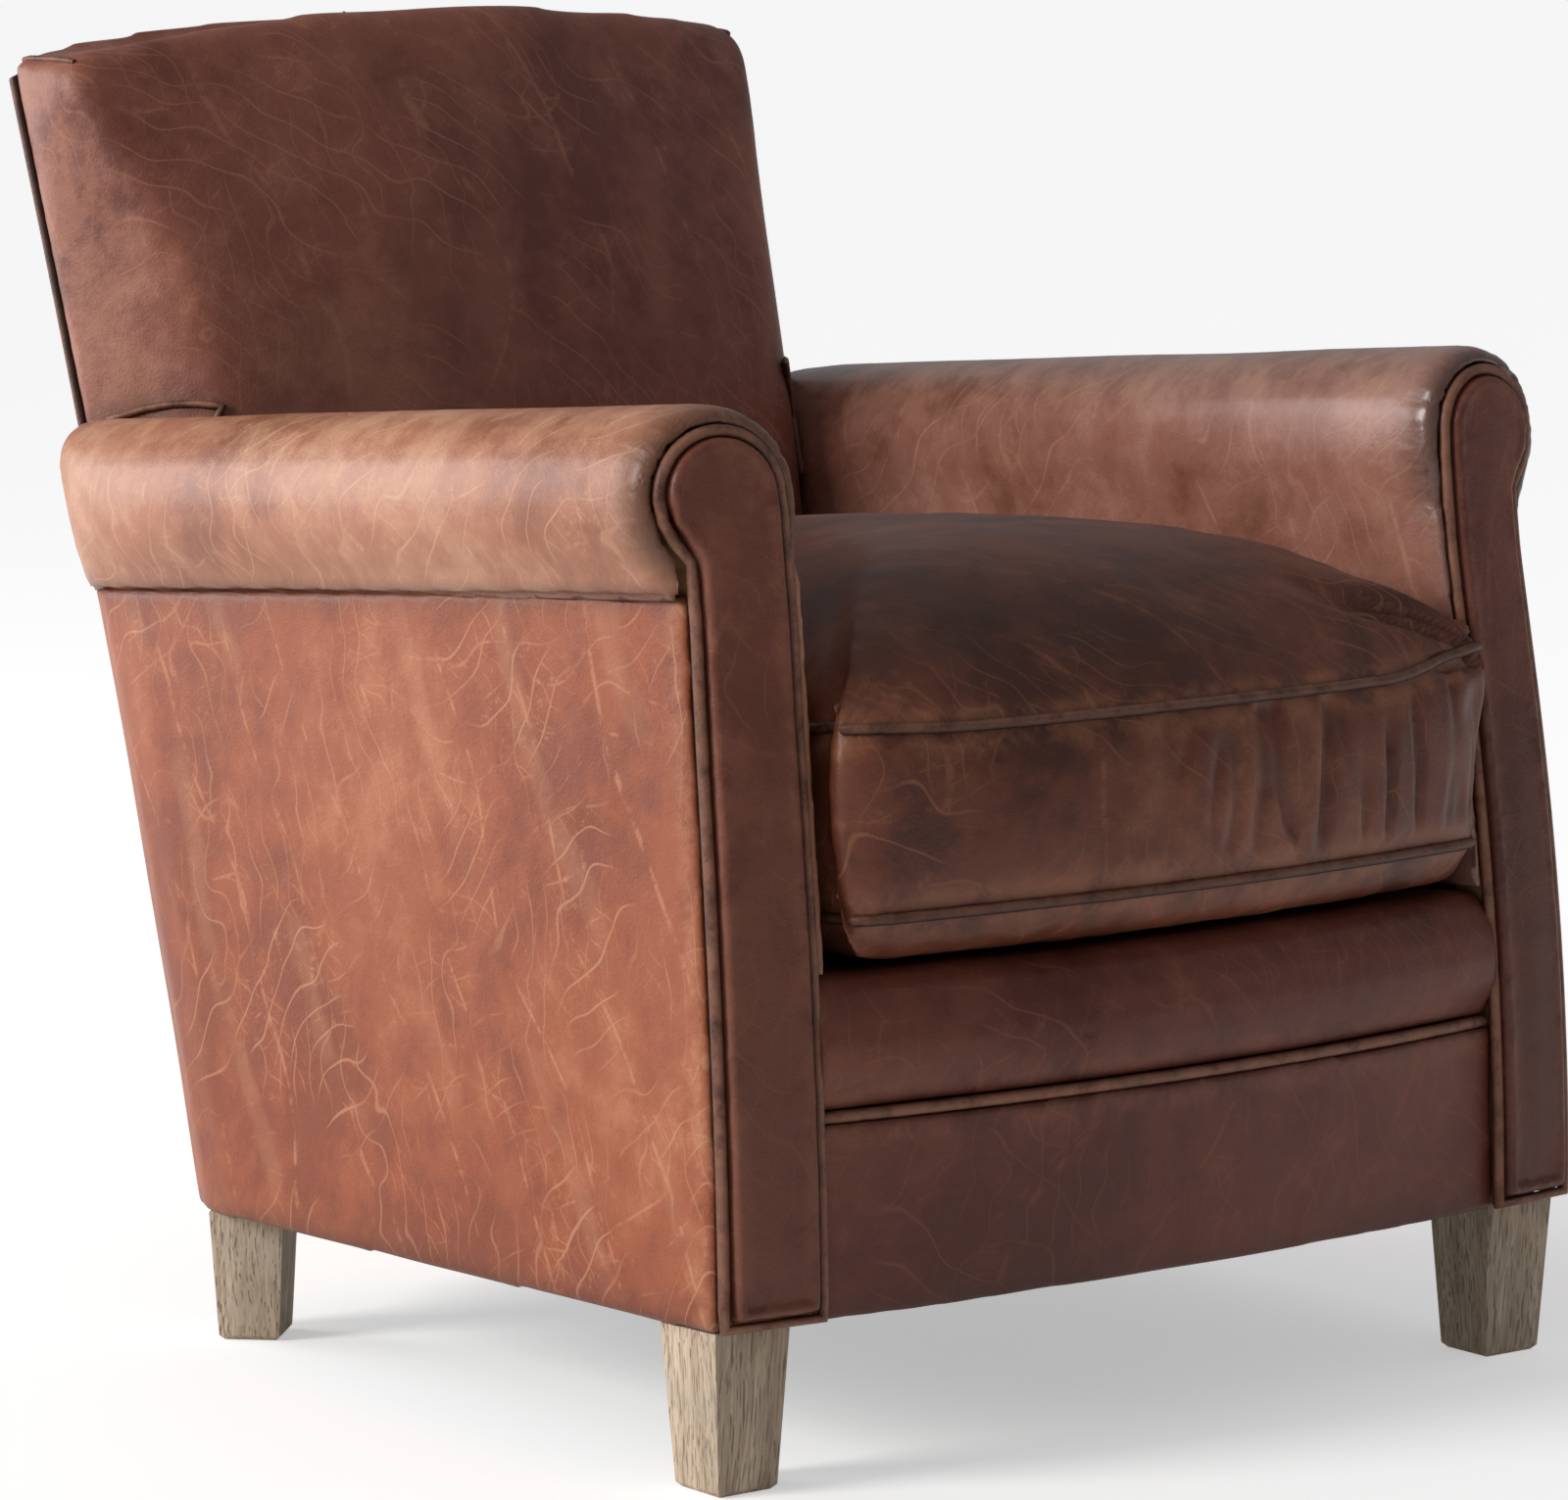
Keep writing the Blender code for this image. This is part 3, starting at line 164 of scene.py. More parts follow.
# materials
class Val:
    def __init__(self, look, socket):
        self.look, self.socket = look, socket

    def maths(self, operation, first, second):
        node = self.look.node("Math", {"operation": operation}, {0: first, 1: second})
        return Val(self.look, node.outputs[0])

    def __add__(self, other): return self.maths("ADD", self, other)
    def __radd__(self, other): return self.maths("ADD", other, self)
    def __sub__(self, other): return self.maths("SUBTRACT", self, other)
    def __rsub__(self, other): return self.maths("SUBTRACT", other, self)
    def __mul__(self, other): return self.maths("MULTIPLY", self, other)
    def __rmul__(self, other): return self.maths("MULTIPLY", other, self)
    def most(self, other): return self.maths("MAXIMUM", self, other)


class Look:
    def __init__(self, name):
        self.material = bpy.data.materials.new(name)
        self.material.use_nodes = True
        self.tree = self.material.node_tree
        self.shader = self.tree.nodes["Principled BSDF"]
        self.place = Val(self, self.node("TexCoord").outputs["Object"])

    def node(self, kind, settings=None, sockets=None):
        node = self.tree.nodes.new("ShaderNode" + kind)
        for key, value in (settings or {}).items():
            setattr(node, key, value)
        for key, value in (sockets or {}).items():
            self.join(value, node.inputs[key])
        return node

    def join(self, value, socket):
        if isinstance(value, Val):
            self.tree.links.new(value.socket, socket)
        else:
            socket.default_value = value

    def set(self, name, value):
        self.join(value, self.shader.inputs[name])

    def noise(self, scale, detail=2.0, rough=0.5, twist=0.0, where=None):
        node = self.node("TexNoise", None, {
            "Vector": where or self.place, "Scale": scale, "Detail": detail, "Roughness": rough,
            "Distortion": twist})
        return Val(self, node.outputs[0])

    def cells(self, scale, randomness=1.0):
        node = self.node("TexVoronoi", None, {
            "Vector": self.place, "Scale": scale, "Randomness": randomness})
        return Val(self, node.outputs["Distance"])

    def turned(self, angles, stretch=1.0, where=None):
        # turns the pattern, then draws it out along its own third axis
        node = self.node("Mapping", {"vector_type": "TEXTURE"}, {
            "Vector": where or self.place, "Rotation": angles, "Scale": (1.0, 1.0, stretch)})
        return Val(self, node.outputs[0])

    def warped(self, scale, amount):
        colour = self.node("TexNoise", None, {"Vector": self.place, "Scale": scale, "Detail": 2.0})
        shift = self.node("VectorMath", {"operation": "MULTIPLY_ADD"}, {
            0: Val(self, colour.outputs[1]), 1: (amount, amount, amount), 2: self.place})
        return Val(self, shift.outputs[0])

    def step(self, value, low, high):
        node = self.node("MapRange", {"interpolation_type": "SMOOTHSTEP"}, {
            "Value": value, "From Min": low, "From Max": high})
        return Val(self, node.outputs[0])

    def blend(self, share, first, second):
        # the Mix node's colour sockets are its seventh and eighth
        settings = {"data_type": "RGBA", "clamp_factor": True}
        node = self.node("Mix", settings, {0: share, 6: first, 7: second})
        return Val(self, node.outputs[2])

    def attribute(self, name):
        return Val(self, self.node("Attribute", {"attribute_name": name}).outputs["Fac"])

    def bump(self, height, depth):
        sockets = {"Height": height, "Distance": depth, "Strength": 1.0}
        return Val(self, self.node("Bump", None, sockets).outputs[0])


def rgb(red, green, blue):
    def linear(level):
        level /= 255
        return level / 12.92 if level <= 0.04045 else ((level + 0.055) / 1.055) ** 2.4
    return (linear(red), linear(green), linear(blue), 1.0)


leatherLooks = {
    # the side panels' tan leather, one leather painted lighter here as the lit side
    "saddleLeather": {"deep": rgb(131, 60, 29), "base": rgb(156, 79, 43), "light": rgb(177, 105, 71),
                      "scratch": rgb(214, 158, 120), "lines": 0.46, "patches": 3.2, "shine": 0.40,
                      "coat": 0.06, "coatRough": 0.34},
    # the near arm's roll, the same leather painted lighter as its lit top
    "rollLeather": {"deep": rgb(146, 86, 59), "base": rgb(176, 113, 83), "light": rgb(198, 141, 110),
                    "scratch": rgb(226, 182, 148), "lines": 0.40, "patches": 5.0, "shine": 0.36,
                    "coat": 0.22, "coatRough": 0.32},
    # the far arm's roll, its base painted lighter and pinker as a painted sheen; the coat gives its real
    # gloss
    "farRollLeather": {"deep": rgb(126, 78, 60), "base": rgb(156, 104, 88), "light": rgb(180, 130, 114),
                       "scratch": rgb(206, 156, 126), "lines": 0.32, "patches": 3.6, "shine": 0.28,
                       "coat": 0.90, "coatRough": 0.31},
    # the fronts' leather, partly its own darker tone and partly painted darker as painted shade
    "shadedLeather": {"deep": rgb(88, 41, 30), "base": rgb(110, 57, 43), "light": rgb(128, 73, 55),
                      "scratch": rgb(166, 108, 82), "lines": 0.26, "patches": 4.0, "shine": 0.40,
                      "coat": 0.08, "coatRough": 0.34},
    "cushionLeather": {"deep": rgb(78, 37, 23), "base": rgb(112, 60, 41), "light": rgb(144, 86, 64),
                       "scratch": rgb(184, 122, 88), "lines": 0.30, "patches": 4.5, "shine": 0.37,
                       "coat": 0.12, "coatRough": 0.32},
    "backLeather": {"deep": rgb(114, 62, 50), "base": rgb(142, 83, 67), "light": rgb(164, 104, 84),
                    "scratch": rgb(200, 146, 118), "lines": 0.28, "patches": 3.4, "shine": 0.40,
                    "coat": 0.08, "coatRough": 0.34},
}


# hairlines: which way they run, metres apart, how far they wander, how wide and how strong they are
hairlines = [
    {"lean": 0.89, "tilt": 0.30, "period": 0.062, "wander": 9.0, "width": 0.008, "strength": 0.8},
    {"lean": 0.83, "tilt": -0.62, "period": 0.019, "wander": 17.0, "width": 0.022, "strength": 1.0},
    {"lean": 0.60, "tilt": -1.10, "period": 0.026, "wander": 19.0, "width": 0.018, "strength": 0.7},
    {"lean": 0.70, "tilt": 0.16, "period": 0.014, "wander": 16.0, "width": 0.028, "strength": 0.7},
    {"lean": 0.95, "tilt": 0.78, "period": 0.012, "wander": 18.0, "width": 0.030, "strength": 0.7},
]
softStreaks = {"lean": 0.86, "tilt": 0.34, "period": 0.085, "wander": 8.0, "width": 0.16, "strength": 0.34}
# the dark colour of dirt and of painted shade
paintedShadeAndDirtColour = rgb(38, 21, 15)
# a wave node of scale 1 has a crest every 0.314 m
wavePeriod = 0.314


def strokes(look, layer, mask):
    # the thin crests of a wandering wave make long hairlines; the mask breaks them up
    wave = look.node("TexWave", {"bands_direction": "X"}, {
        "Vector": look.turned((0.0, layer["tilt"], layer["lean"])), "Scale": wavePeriod / layer["period"],
        "Distortion": layer["wander"], "Detail": 2.0, "Detail Scale": 0.42, "Detail Roughness": 0.60})
    crest = look.step(Val(look, wave.outputs[1]), 1.0 - layer["width"], 1.0)
    return crest * mask * layer["strength"]


def makeLeather(name, tones):
    look = Look(name)
    masks = look.node("SeparateXYZ", None, {0: Val(look, look.node("TexNoise", None, {
        "Vector": look.place, "Scale": 11.0, "Detail": 3.0}).outputs[1])})
    first, second, third = [look.step(Val(look, masks.outputs[i]), 0.44, 0.62) for i in range(3)]
    patch = look.noise(tones["patches"], 3.0, 0.5)
    cloud = look.noise(26.0, 5.0, 0.70)
    tone = patch * 0.6 + cloud * 0.4
    colour = look.blend(look.step(tone, 0.38, 0.52), tones["deep"], tones["base"])
    colour = look.blend(look.step(tone, 0.50, 0.64), colour, tones["light"])
    broken = look.step(cloud, 0.46, 0.60)
    shares = [broken, first, second * broken, third, third.most(first) * broken]
    lines = None
    for layer, share in zip(hairlines, shares):
        stroke = strokes(look, layer, share)
        lines = lines.most(stroke) if lines else stroke
    scuffs = look.step(look.noise(120.0, 3.0, 0.7), 0.55, 0.70) * first * second
    colour = look.blend(strokes(look, softStreaks, second) * tones["lines"], colour, tones["scratch"])
    colour = look.blend(scuffs * tones["lines"] * 0.6, colour, tones["scratch"])
    colour = look.blend(lines * tones["lines"], colour, tones["scratch"])
    # the pieces' map of dirt and painted shade: dark seams and grooves, creases, hollows between parts and
    # shaded tops and undersides
    dirt = look.attribute("dirt") * (0.55 + 0.8 * cloud)
    colour = look.blend(dirt * 0.85, colour, paintedShadeAndDirtColour)
    # the pieces' map of paler leather: real wear on the arm tops, and painted highlight along rounded panel
    # and cushion edges and on the back's sides
    wear = look.attribute("wear")
    colour = look.blend(wear * look.step(cloud, 0.35, 0.60) * 0.6, colour, tones["scratch"])
    look.set("Base Color", colour)
    look.set("Roughness", tones["shine"] + 0.16 * cloud + 0.08 * lines - 0.04 * wear)
    look.shader.inputs["Specular IOR Level"].default_value = 0.33
    look.shader.inputs["Coat Weight"].default_value = tones["coat"]
    look.shader.inputs["Coat Roughness"].default_value = tones["coatRough"]
    grain, creasing, pleats = look.cells(520.0), look.noise(19.0, 3.0, 0.6), look.attribute("pleat")
    look.set("Normal", look.bump(grain * 0.00016 + creasing * 0.0016 + pleats * 0.0007, 1.0))
    return look.material


weltLooks = {
    "piping": {"deep": rgb(78, 44, 33), "light": rgb(118, 71, 53), "crest": 0.45},
    "darkPiping": {"deep": rgb(62, 33, 24), "light": rgb(94, 55, 40), "crest": 0.30},
}


def makeWeltLeather(name, tones):
    look = Look(name)
    mottle = look.noise(60.0, 4.0, 0.6)
    colour = look.blend(look.step(mottle, 0.38, 0.62), tones["deep"], tones["light"])
    # the crest is paler, part wear and part painted highlight, and the foot darker as painted shade
    crest = look.attribute("wear") * look.step(look.noise(48.0, 5.0, 0.7), 0.30, 0.58)
    colour = look.blend(crest * tones["crest"], colour, rgb(184, 130, 102))
    colour = look.blend(look.attribute("dirt") * 0.85, colour, rgb(38, 20, 15))
    look.set("Base Color", colour)
    look.set("Roughness", 0.42 + 0.18 * mottle)
    look.shader.inputs["Specular IOR Level"].default_value = 0.38
    look.set("Normal", look.bump(look.cells(420.0) * 0.4 + mottle, 0.00045))
    return look.material


def makeOak():
    look = Look("weatheredOak")
    along = look.turned((0.0, 0.06, 0.25), 18.0, look.warped(5.0, 0.02))
    fibre = look.noise(420.0, 3.0, 0.65, 0.0, along)
    bands = look.noise(60.0, 3.0, 0.6, 0.4, along)
    pores = look.step(look.noise(700.0, 1.0, 0.5, 0.0, along), 0.60, 0.68)
    colour = look.blend(look.step(bands, 0.30, 0.70), rgb(182, 160, 136), rgb(220, 198, 172))
    colour = look.blend(look.step(fibre, 0.42, 0.62) * 0.55, colour, rgb(150, 130, 110))
    colour = look.blend(pores * 0.6, colour, rgb(98, 80, 64))
    colour = look.blend(look.step(look.noise(24.0, 3.0, 0.6), 0.5, 0.72) * 0.35, colour, rgb(184, 172, 156))
    look.set("Base Color", colour)
    look.set("Roughness", 0.62 + 0.2 * fibre)
    look.set("Normal", look.bump(fibre * 0.6 + bands * 0.3 - pores * 0.8, 0.0007))
    return look.material


def makeFrameWood():
    look = Look("frameBeech")
    grain = look.noise(160.0, 4.0, 0.6, 0.3, look.turned((1.57, 0.0, 0.1), 12.0))
    look.set("Base Color", look.blend(grain, rgb(170, 128, 84), rgb(208, 170, 120)))
    look.set("Roughness", 0.6 + 0.2 * grain)
    look.set("Normal", look.bump(grain, 0.0004))
    return look.material


def makeSteel():
    look = Look("springSteel")
    spots = look.noise(140.0, 4.0, 0.6)
    look.set("Base Color", look.blend(look.step(spots, 0.5, 0.7), rgb(120, 120, 122), rgb(92, 78, 66)))
    look.set("Roughness", 0.3 + 0.3 * spots)
    look.shader.inputs["Metallic"].default_value = 1.0
    return look.material


def makeWoven(name, dark, light, threads):
    look = Look(name)
    weave = look.cells(threads, 0.15)
    shade = look.noise(20.0, 3.0, 0.6)
    look.set("Base Color", look.blend(weave * 0.9 + shade * 0.2, light, dark))
    look.set("Roughness", 0.85 + 0.1 * shade)
    look.set("Normal", look.bump(weave, 0.0006))
    return look.material


print("making the materials")
materials = {name: makeLeather(name, tones) for name, tones in leatherLooks.items()}
for name, tones in weltLooks.items():
    materials[name] = makeWeltLeather(name, tones)
materials["oak"] = makeOak()
materials["beech"] = makeFrameWood()
materials["steel"] = makeSteel()
materials["jute"] = makeWoven("juteWebbing", rgb(92, 74, 48), rgb(178, 150, 104), 500.0)
materials["canvas"] = makeWoven("deckCanvas", rgb(26, 18, 14), rgb(64, 48, 38), 900.0)
materials["dustCloth"] = makeWoven("dustCloth", rgb(12, 12, 12), rgb(34, 33, 32), 700.0)


# shaping
def chosen(piece):
    bpy.ops.object.select_all(action="DESELECT")
    piece.select_set(True)
    bpy.context.view_layer.objects.active = piece


def applyAll(piece):
    chosen(piece)
    for modifier in list(piece.modifiers):
        bpy.ops.object.modifier_apply(modifier=modifier.name)


def copyOf(node, name):
    source = bpy.data.objects[node]
    mesh = source.data.copy()
    mesh.name = name
    mesh.transform(source.matrix_world)
    mesh.materials.clear()
    piece = bpy.data.objects.new(name, mesh)
    bpy.context.scene.collection.objects.link(piece)
    chosen(piece)
    bpy.ops.object.mode_set(mode="EDIT")
    bpy.ops.mesh.select_all(action="SELECT")
    bpy.ops.mesh.remove_doubles(threshold=0.00005)
    bpy.ops.mesh.normals_make_consistent(inside=False)
    bpy.ops.object.mode_set(mode="OBJECT")
    return piece


def finishPiece(piece, material, nodes, smooth=45):
    chosen(piece)
    bpy.ops.object.shade_smooth_by_angle(angle=math.radians(smooth))
    piece.data.materials.clear()
    piece.data.materials.append(materials[material])
    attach(piece, "root")
    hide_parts(*nodes)


def remesh(piece, size, smoothing=0):
    chosen(piece)
    piece.data.remesh_voxel_size = size
    piece.data.use_remesh_preserve_volume = True
    bpy.ops.object.voxel_remesh()
    if smoothing:
        relax(piece, smoothing)


def relax(piece, times, share=None):
    modifier = piece.modifiers.new("Relax", "SMOOTH")
    modifier.factor, modifier.iterations = 0.5, times
    if share:
        group = piece.vertex_groups.new(name="loose")
        for vertex in piece.data.vertices:
            group.add([vertex.index], share(bodyUnplace @ vertex.co), "REPLACE")
        modifier.vertex_group = "loose"
    applyAll(piece)
    piece.vertex_groups.clear()


def subdivide(piece):
    modifier = piece.modifiers.new("Finer", "SUBSURF")
    modifier.levels = modifier.render_levels = 1
    applyAll(piece)


def paint(piece, name, rule):
    layer = piece.data.attributes.new(name, "FLOAT", "POINT")
    normals = [v.normal.copy() for v in piece.data.vertices]
    values = [rule(bodyUnplace @ v.co, normals[i]) for i, v in enumerate(piece.data.vertices)]
    layer.data.foreach_set("value", values)


def carve(piece, rule):
    # rule gives how far each point moves along its normal, from its place in the body's own frame
    moves = [rule(bodyUnplace @ v.co, v.normal) for v in piece.data.vertices]
    normals = [v.normal.copy() for v in piece.data.vertices]
    for vertex, normal, move in zip(piece.data.vertices, normals, moves):
        vertex.co += normal * move
    piece.data.update()


def reshape(piece, rule):
    # rule gives each point's new place from its place in the body's own frame
    for vertex in piece.data.vertices:
        vertex.co = bodyPlace @ rule(bodyUnplace @ vertex.co)


def nearTo(paths):
    points = [Vector(p) for path in paths for p in path]
    tree = kdtree.KDTree(len(points))
    for i, point in enumerate(points):
        tree.insert(point, i)
    tree.balance()
    return lambda place: tree.find(place)[2]


def densePath(path, closed=False, spacing=0.004):
    points = []
    count = len(path) if closed else len(path) - 1
    for i in range(count):
        start, end = Vector(path[i]), Vector(path[(i + 1) % len(path)])
        steps = max(int((end - start).length / spacing), 1)
        points += [start.lerp(end, k / steps) for k in range(steps)]
    return points


# seams, as paths in the body's frame
def facingPath(side, inset, forward):
    s = armShape
    foot = hemRise(0.0) + inset
    rises = [foot + (s["scrollRise"] - foot) * i / pathSteps for i in range(pathSteps + 1)]
    radius = s["scrollRadius"] - inset
    rises += [s["scrollRise"] + radius * math.sin(math.radians(turn)) for turn in range(8, 90, 8)]
    up = [(facingEdges(rise, inset)[0], rise) for rise in rises]
    down = [(facingEdges(rise, inset)[1], rise) for rise in reversed(rises)]
    return [(side * x, armFrontRun(x, rise) + forward, rise) for x, rise in up + down]


def backWeltPath():
    foot, top = hemRise(backRun(0.0)), shell["topRise"] - shell["weltDrop"]
    side = []
    for i in range(pathSteps + 1):
        rise = foot + (top - foot) * i / pathSteps
        x = backWeltX(rise)
        level = rise - crownDrop(x, rise)
        side.append((x, shellRun(x, level) - piping["slim"], level))
    across = []
    for i in range(1, pathSteps):
        x = shell["weltTopX"] * (1 - 2 * i / pathSteps)
        level = top - crownDrop(x, top)
        across.append((x, shellRun(x, level) - piping["slim"], level))
    return side + across + [(-x, run, rise) for x, run, rise in reversed(side)]


def roundCorner(x, run, rise):
    # the near front corner is full and round, the far one is pinched into an ear at its upper seam
    c = cushion
    share = 1.0 if x < 0 else 1 - ease(rise, c["lowSeam"] + c["earStart"], c["highSeam"])
    centre = Vector((c["frontHalfWidth"] - c["roundRadius"], c["frontRun"] + c["roundRadius"]))
    offset = Vector((abs(x), run)) - centre
    if offset.x <= 0 or offset.y >= 0 or offset.length < 0.001:
        return x, run
    shrink = 1 + (max(offset.x, -offset.y) / offset.length - 1) * share
    return math.copysign(centre.x + offset.x * shrink, x), centre.y + offset.y * shrink


def earPush(x, run):
    # the front corners stand out a little in front of the facings
    c = cushion
    reach = c["pushNear"] if x < 0 else c["pushFar"]
    inFront = 1 - ease(run, c["frontRun"] + 0.004, c["frontRun"] + 0.026)
    return x + math.copysign(reach * ease(abs(x), c["pushFromX"], c["pushFullX"]) * inFront, x)


def cushionSeam(rise, inset):
    seam = []
    for x, run in cushionLoop(inset):
        lifted = rise + earLift(x, run, rise)
        seam.append((*roundCorner(x, run, rise), lifted))
    return seam


def apronRun(x, rise):
    bow = apron["bow"] + apron["bowGrowth"] * rise
    return apron["endRun"] - apron["lean"] * rise - bow * (1 - (x / armShape["footInner"]) ** 2)


def railPath():
    rise = apron["topRise"] + gap + piping["radius"]
    half = facingEdges(rise, 0.0)[0] - 2 * gap
    across = [half * (2 * i / pathSteps - 1) for i in range(pathSteps + 1)]
    return [(x, apronRun(x, rise) + piping["radius"] * 0.7, rise) for x in across]


seams = {
    "facingLeft": densePath(facingPath(-1, piping["radius"], piping["forward"]), True),
    "facingRight": densePath(facingPath(1, piping["radius"], piping["forward"]), True),
    "back": densePath(backWeltPath()),
    "cushionLow": densePath(cushionSeam(cushion["lowSeam"], piping["slim"]), True),
    "cushionHigh": densePath(cushionSeam(cushion["highSeam"], piping["slim"]), True),
    "rail": densePath(railPath()),
}


def treeOf(name):
    shown = bpy.data.objects[name]
    mesh = shown.data
    points = [bodyUnplace @ shown.matrix_world @ v.co for v in mesh.vertices]
    return BVHTree.FromPolygons(points, [tuple(face.vertices) for face in mesh.polygons])


backTree = treeOf("inside_back")


# the seam between the back and an arm: its rear end, its arch as runs and rises along the back's side,
# then places across the roll and rises down the inside of the arm
junctionSeam = {
    "rearX": 0.2885, "rearRise": 0.5475, "shellAt": (0.288, 0.548), "seamSet": 0.004,
    "clear": 0.0015, "away": 0.40,
    "arch": [(0.722, 0.5540), (0.706, 0.5585), (0.690, 0.5605), (0.674, 0.5600), (0.660, 0.5575)],
    "across": [0.274, 0.268, 0.262, 0.2565],
    "down": [0.520, 0.500, 0.480, 0.460, 0.440, 0.420, 0.400, 0.380]}


def junctionPath(side):
    # arched over the roll along the back's side, then down between the back and the inside of the arm
    s, j = armShape, junctionSeam
    rearwards = Vector((0, 1, 0))
    path = [(side * j["rearX"], shellRun(*j["shellAt"]) - j["seamSet"], j["rearRise"])]
    for run, rise in j["arch"]:
        place = backTree.ray_cast(Vector((side * j["away"], run, rise)), Vector((-side, 0, 0)))[0]
        path.append((place.x + side * 0.001, run, rise))
    for x in j["across"]:
        rise = s["scrollRise"] + math.sqrt(s["rollRadius"] ** 2 - (x - s["scrollX"]) ** 2) + j["clear"]
        place = backTree.ray_cast(Vector((side * x, j["away"], rise)), rearwards)[0]
        if place and place.y < path[-1][1] - 0.002:
            path.append((place.x, place.y - 0.001, place.z))
    for rise in j["down"]:
        x = s["scrollX"] - math.sqrt(max(s["rollRadius"] ** 2 - (rise - s["scrollRise"]) ** 2, 0.0))
        x = -softMax(-x, -(facingEdges(rise, 0)[0] - s["overhang"]), 0.006) - 0.002
        place = backTree.ray_cast(Vector((side * x, j["away"], rise)), rearwards)[0]
        if place:
            path.append((place.x, place.y - j["clear"], place.z))
    return path


shoulderSeam = {"points": 12, "rearRun": 0.838, "spacing": 0.0075, "outsideX": 0.36, "aboveRise": 0.88,
                "lowestRise": 0.75, "proud": 0.0004}


def shoulderPath(side, tree):
    # slim seam over the rounded top of the back's side, from the rear seam to the front corner
    s, path = shoulderSeam, []
    inwards = Vector((-side, 0, -1)).normalized()
    for i in range(s["points"]):
        run = s["rearRun"] - s["spacing"] * i
        place = tree.ray_cast(Vector((side * s["outsideX"], run, s["aboveRise"])), inwards)[0]
        if place and place.z > s["lowestRise"]:
            path.append(tuple(place - inwards * s["proud"]))
    return path


# the inner block that the cushion's seams are looked at from, how far off, and how proud they lie
seamRays = {"halfWidth": 0.16, "front": 0.06, "back": 0.50, "away": 0.30, "proud": 0.45}


def onSurface(path, tree, radius):
    # lays a seam on the finished cushion, wherever its filling has pushed the cover
    r, laid = seamRays, []
    for x, run, rise in path:
        x = earPush(x, run)
        inX, inRun = min(max(x, -r["halfWidth"]), r["halfWidth"]), min(max(run, r["front"]), r["back"])
        centre = Vector((inX, inRun, rise))
        out = (Vector((x, run, rise)) - centre).normalized()
        place = tree.ray_cast(centre + out * r["away"], -out)[0]
        laid.append(tuple(place + out * (radius * r["proud"])) if place else (x, run, rise))
    return laid


tuckSeam = {"drop": 0.0005, "startX": 0.338, "startSet": 0.006, "endSet": 0.026, "inset": 0.0055,
            "radius": 0.004}


def tuckPath(side):
    # seam under the roll, where the outer panel is sewn in
    s = armShape
    rise = s["seamRise"] - tuckSeam["drop"]
    start = armFrontRun(tuckSeam["startX"], rise) + tuckSeam["startSet"]
    end = backRun(rise) - s["rollEndSet"] - tuckSeam["endSet"]
    path = []
    for i in range(pathSteps + 1):
        run = start + (end - start) * i / pathSteps
        past = max(run - (backRun(rise) - shell["corner"]), 0.0)
        x = shell["sideX"] - shell["corner"] + math.sqrt(shell["corner"] ** 2 - past ** 2)
        path.append((side * (x - tuckSeam["inset"]), run, rise))
    return path


def tubeAlong(name, paths):
    # each path is (points, radius, closed)
    curve = bpy.data.curves.new(name, "CURVE")
    curve.dimensions, curve.twist_mode = "3D", "MINIMUM"
    for path, radius, closed in paths:
        spline = curve.splines.new("POLY")
        spline.points.add(len(path) - 1)
        for point, place in zip(spline.points, path):
            point.co = (*(bodyPlace @ Vector(place)), 1.0)
            point.radius = radius
        spline.use_cyclic_u = closed
    curve.bevel_depth, curve.bevel_resolution, curve.use_fill_caps = 1.0, 3, True
    piece = bpy.data.objects.new(name, curve)
    bpy.context.scene.collection.objects.link(piece)
    chosen(piece)
    bpy.ops.object.convert(target="MESH")
    bpy.ops.object.mode_set(mode="EDIT")
    bpy.ops.mesh.select_all(action="SELECT")
    bpy.ops.mesh.remove_doubles(threshold=0.00002)
    bpy.ops.mesh.normals_make_consistent(inside=False)
    bpy.ops.object.mode_set(mode="OBJECT")
    return piece


def makePiping(name, paths, nodes, outwards, material="piping"):
    # a corded seam: a round section, its crest paler, part wear and part painted highlight, and its foot
    # darker as painted shade
    piece = tubeAlong(name, paths)
    turn = bodyPlace.to_3x3()

    def facing(place, normal):
        return normal.dot((turn @ outwards(place)).normalized())

    paint(piece, "wear", lambda place, normal: ease(facing(place, normal), 0.35, 0.95))
    paint(piece, "dirt", lambda place, normal: 1 - ease(facing(place, normal), -0.2, 0.6))
    finishPiece(piece, material, nodes, 60)


def frontOut(place):
    outer = 1 if abs(place.x) > armShape["scrollX"] - 0.004 else -1
    return Vector((0.6 * outer * math.copysign(1, place.x), -1.0, 0.15))


def sideOut(place):
    return Vector((place.x * 2.0, place.y - 0.3, 0.25))


def rearOut(place):
    return Vector((place.x * 2.0, 1.0 if place.y > backRun(place.z) - 0.05 else -0.6, 0.3))


def ripple(place, scale, seed):
    return noise.noise(Vector((place.x * scale[0] + seed, place.y * scale[1], place.z * scale[2])))


# loose seat cushion
cushionLook = {"voxel": 0.0074, "relax": 30, "pressure": 4.0, "cap": 0.010, "shrink": 0.003, "fill": 0.75,
               "frames": 20, "crease": 0.0052, "billow": 0.0016, "pinch": 0.0056, "crownWaves": 0.0012,
               "seamWaves": 0.0020, "footWaves": 0.0014}


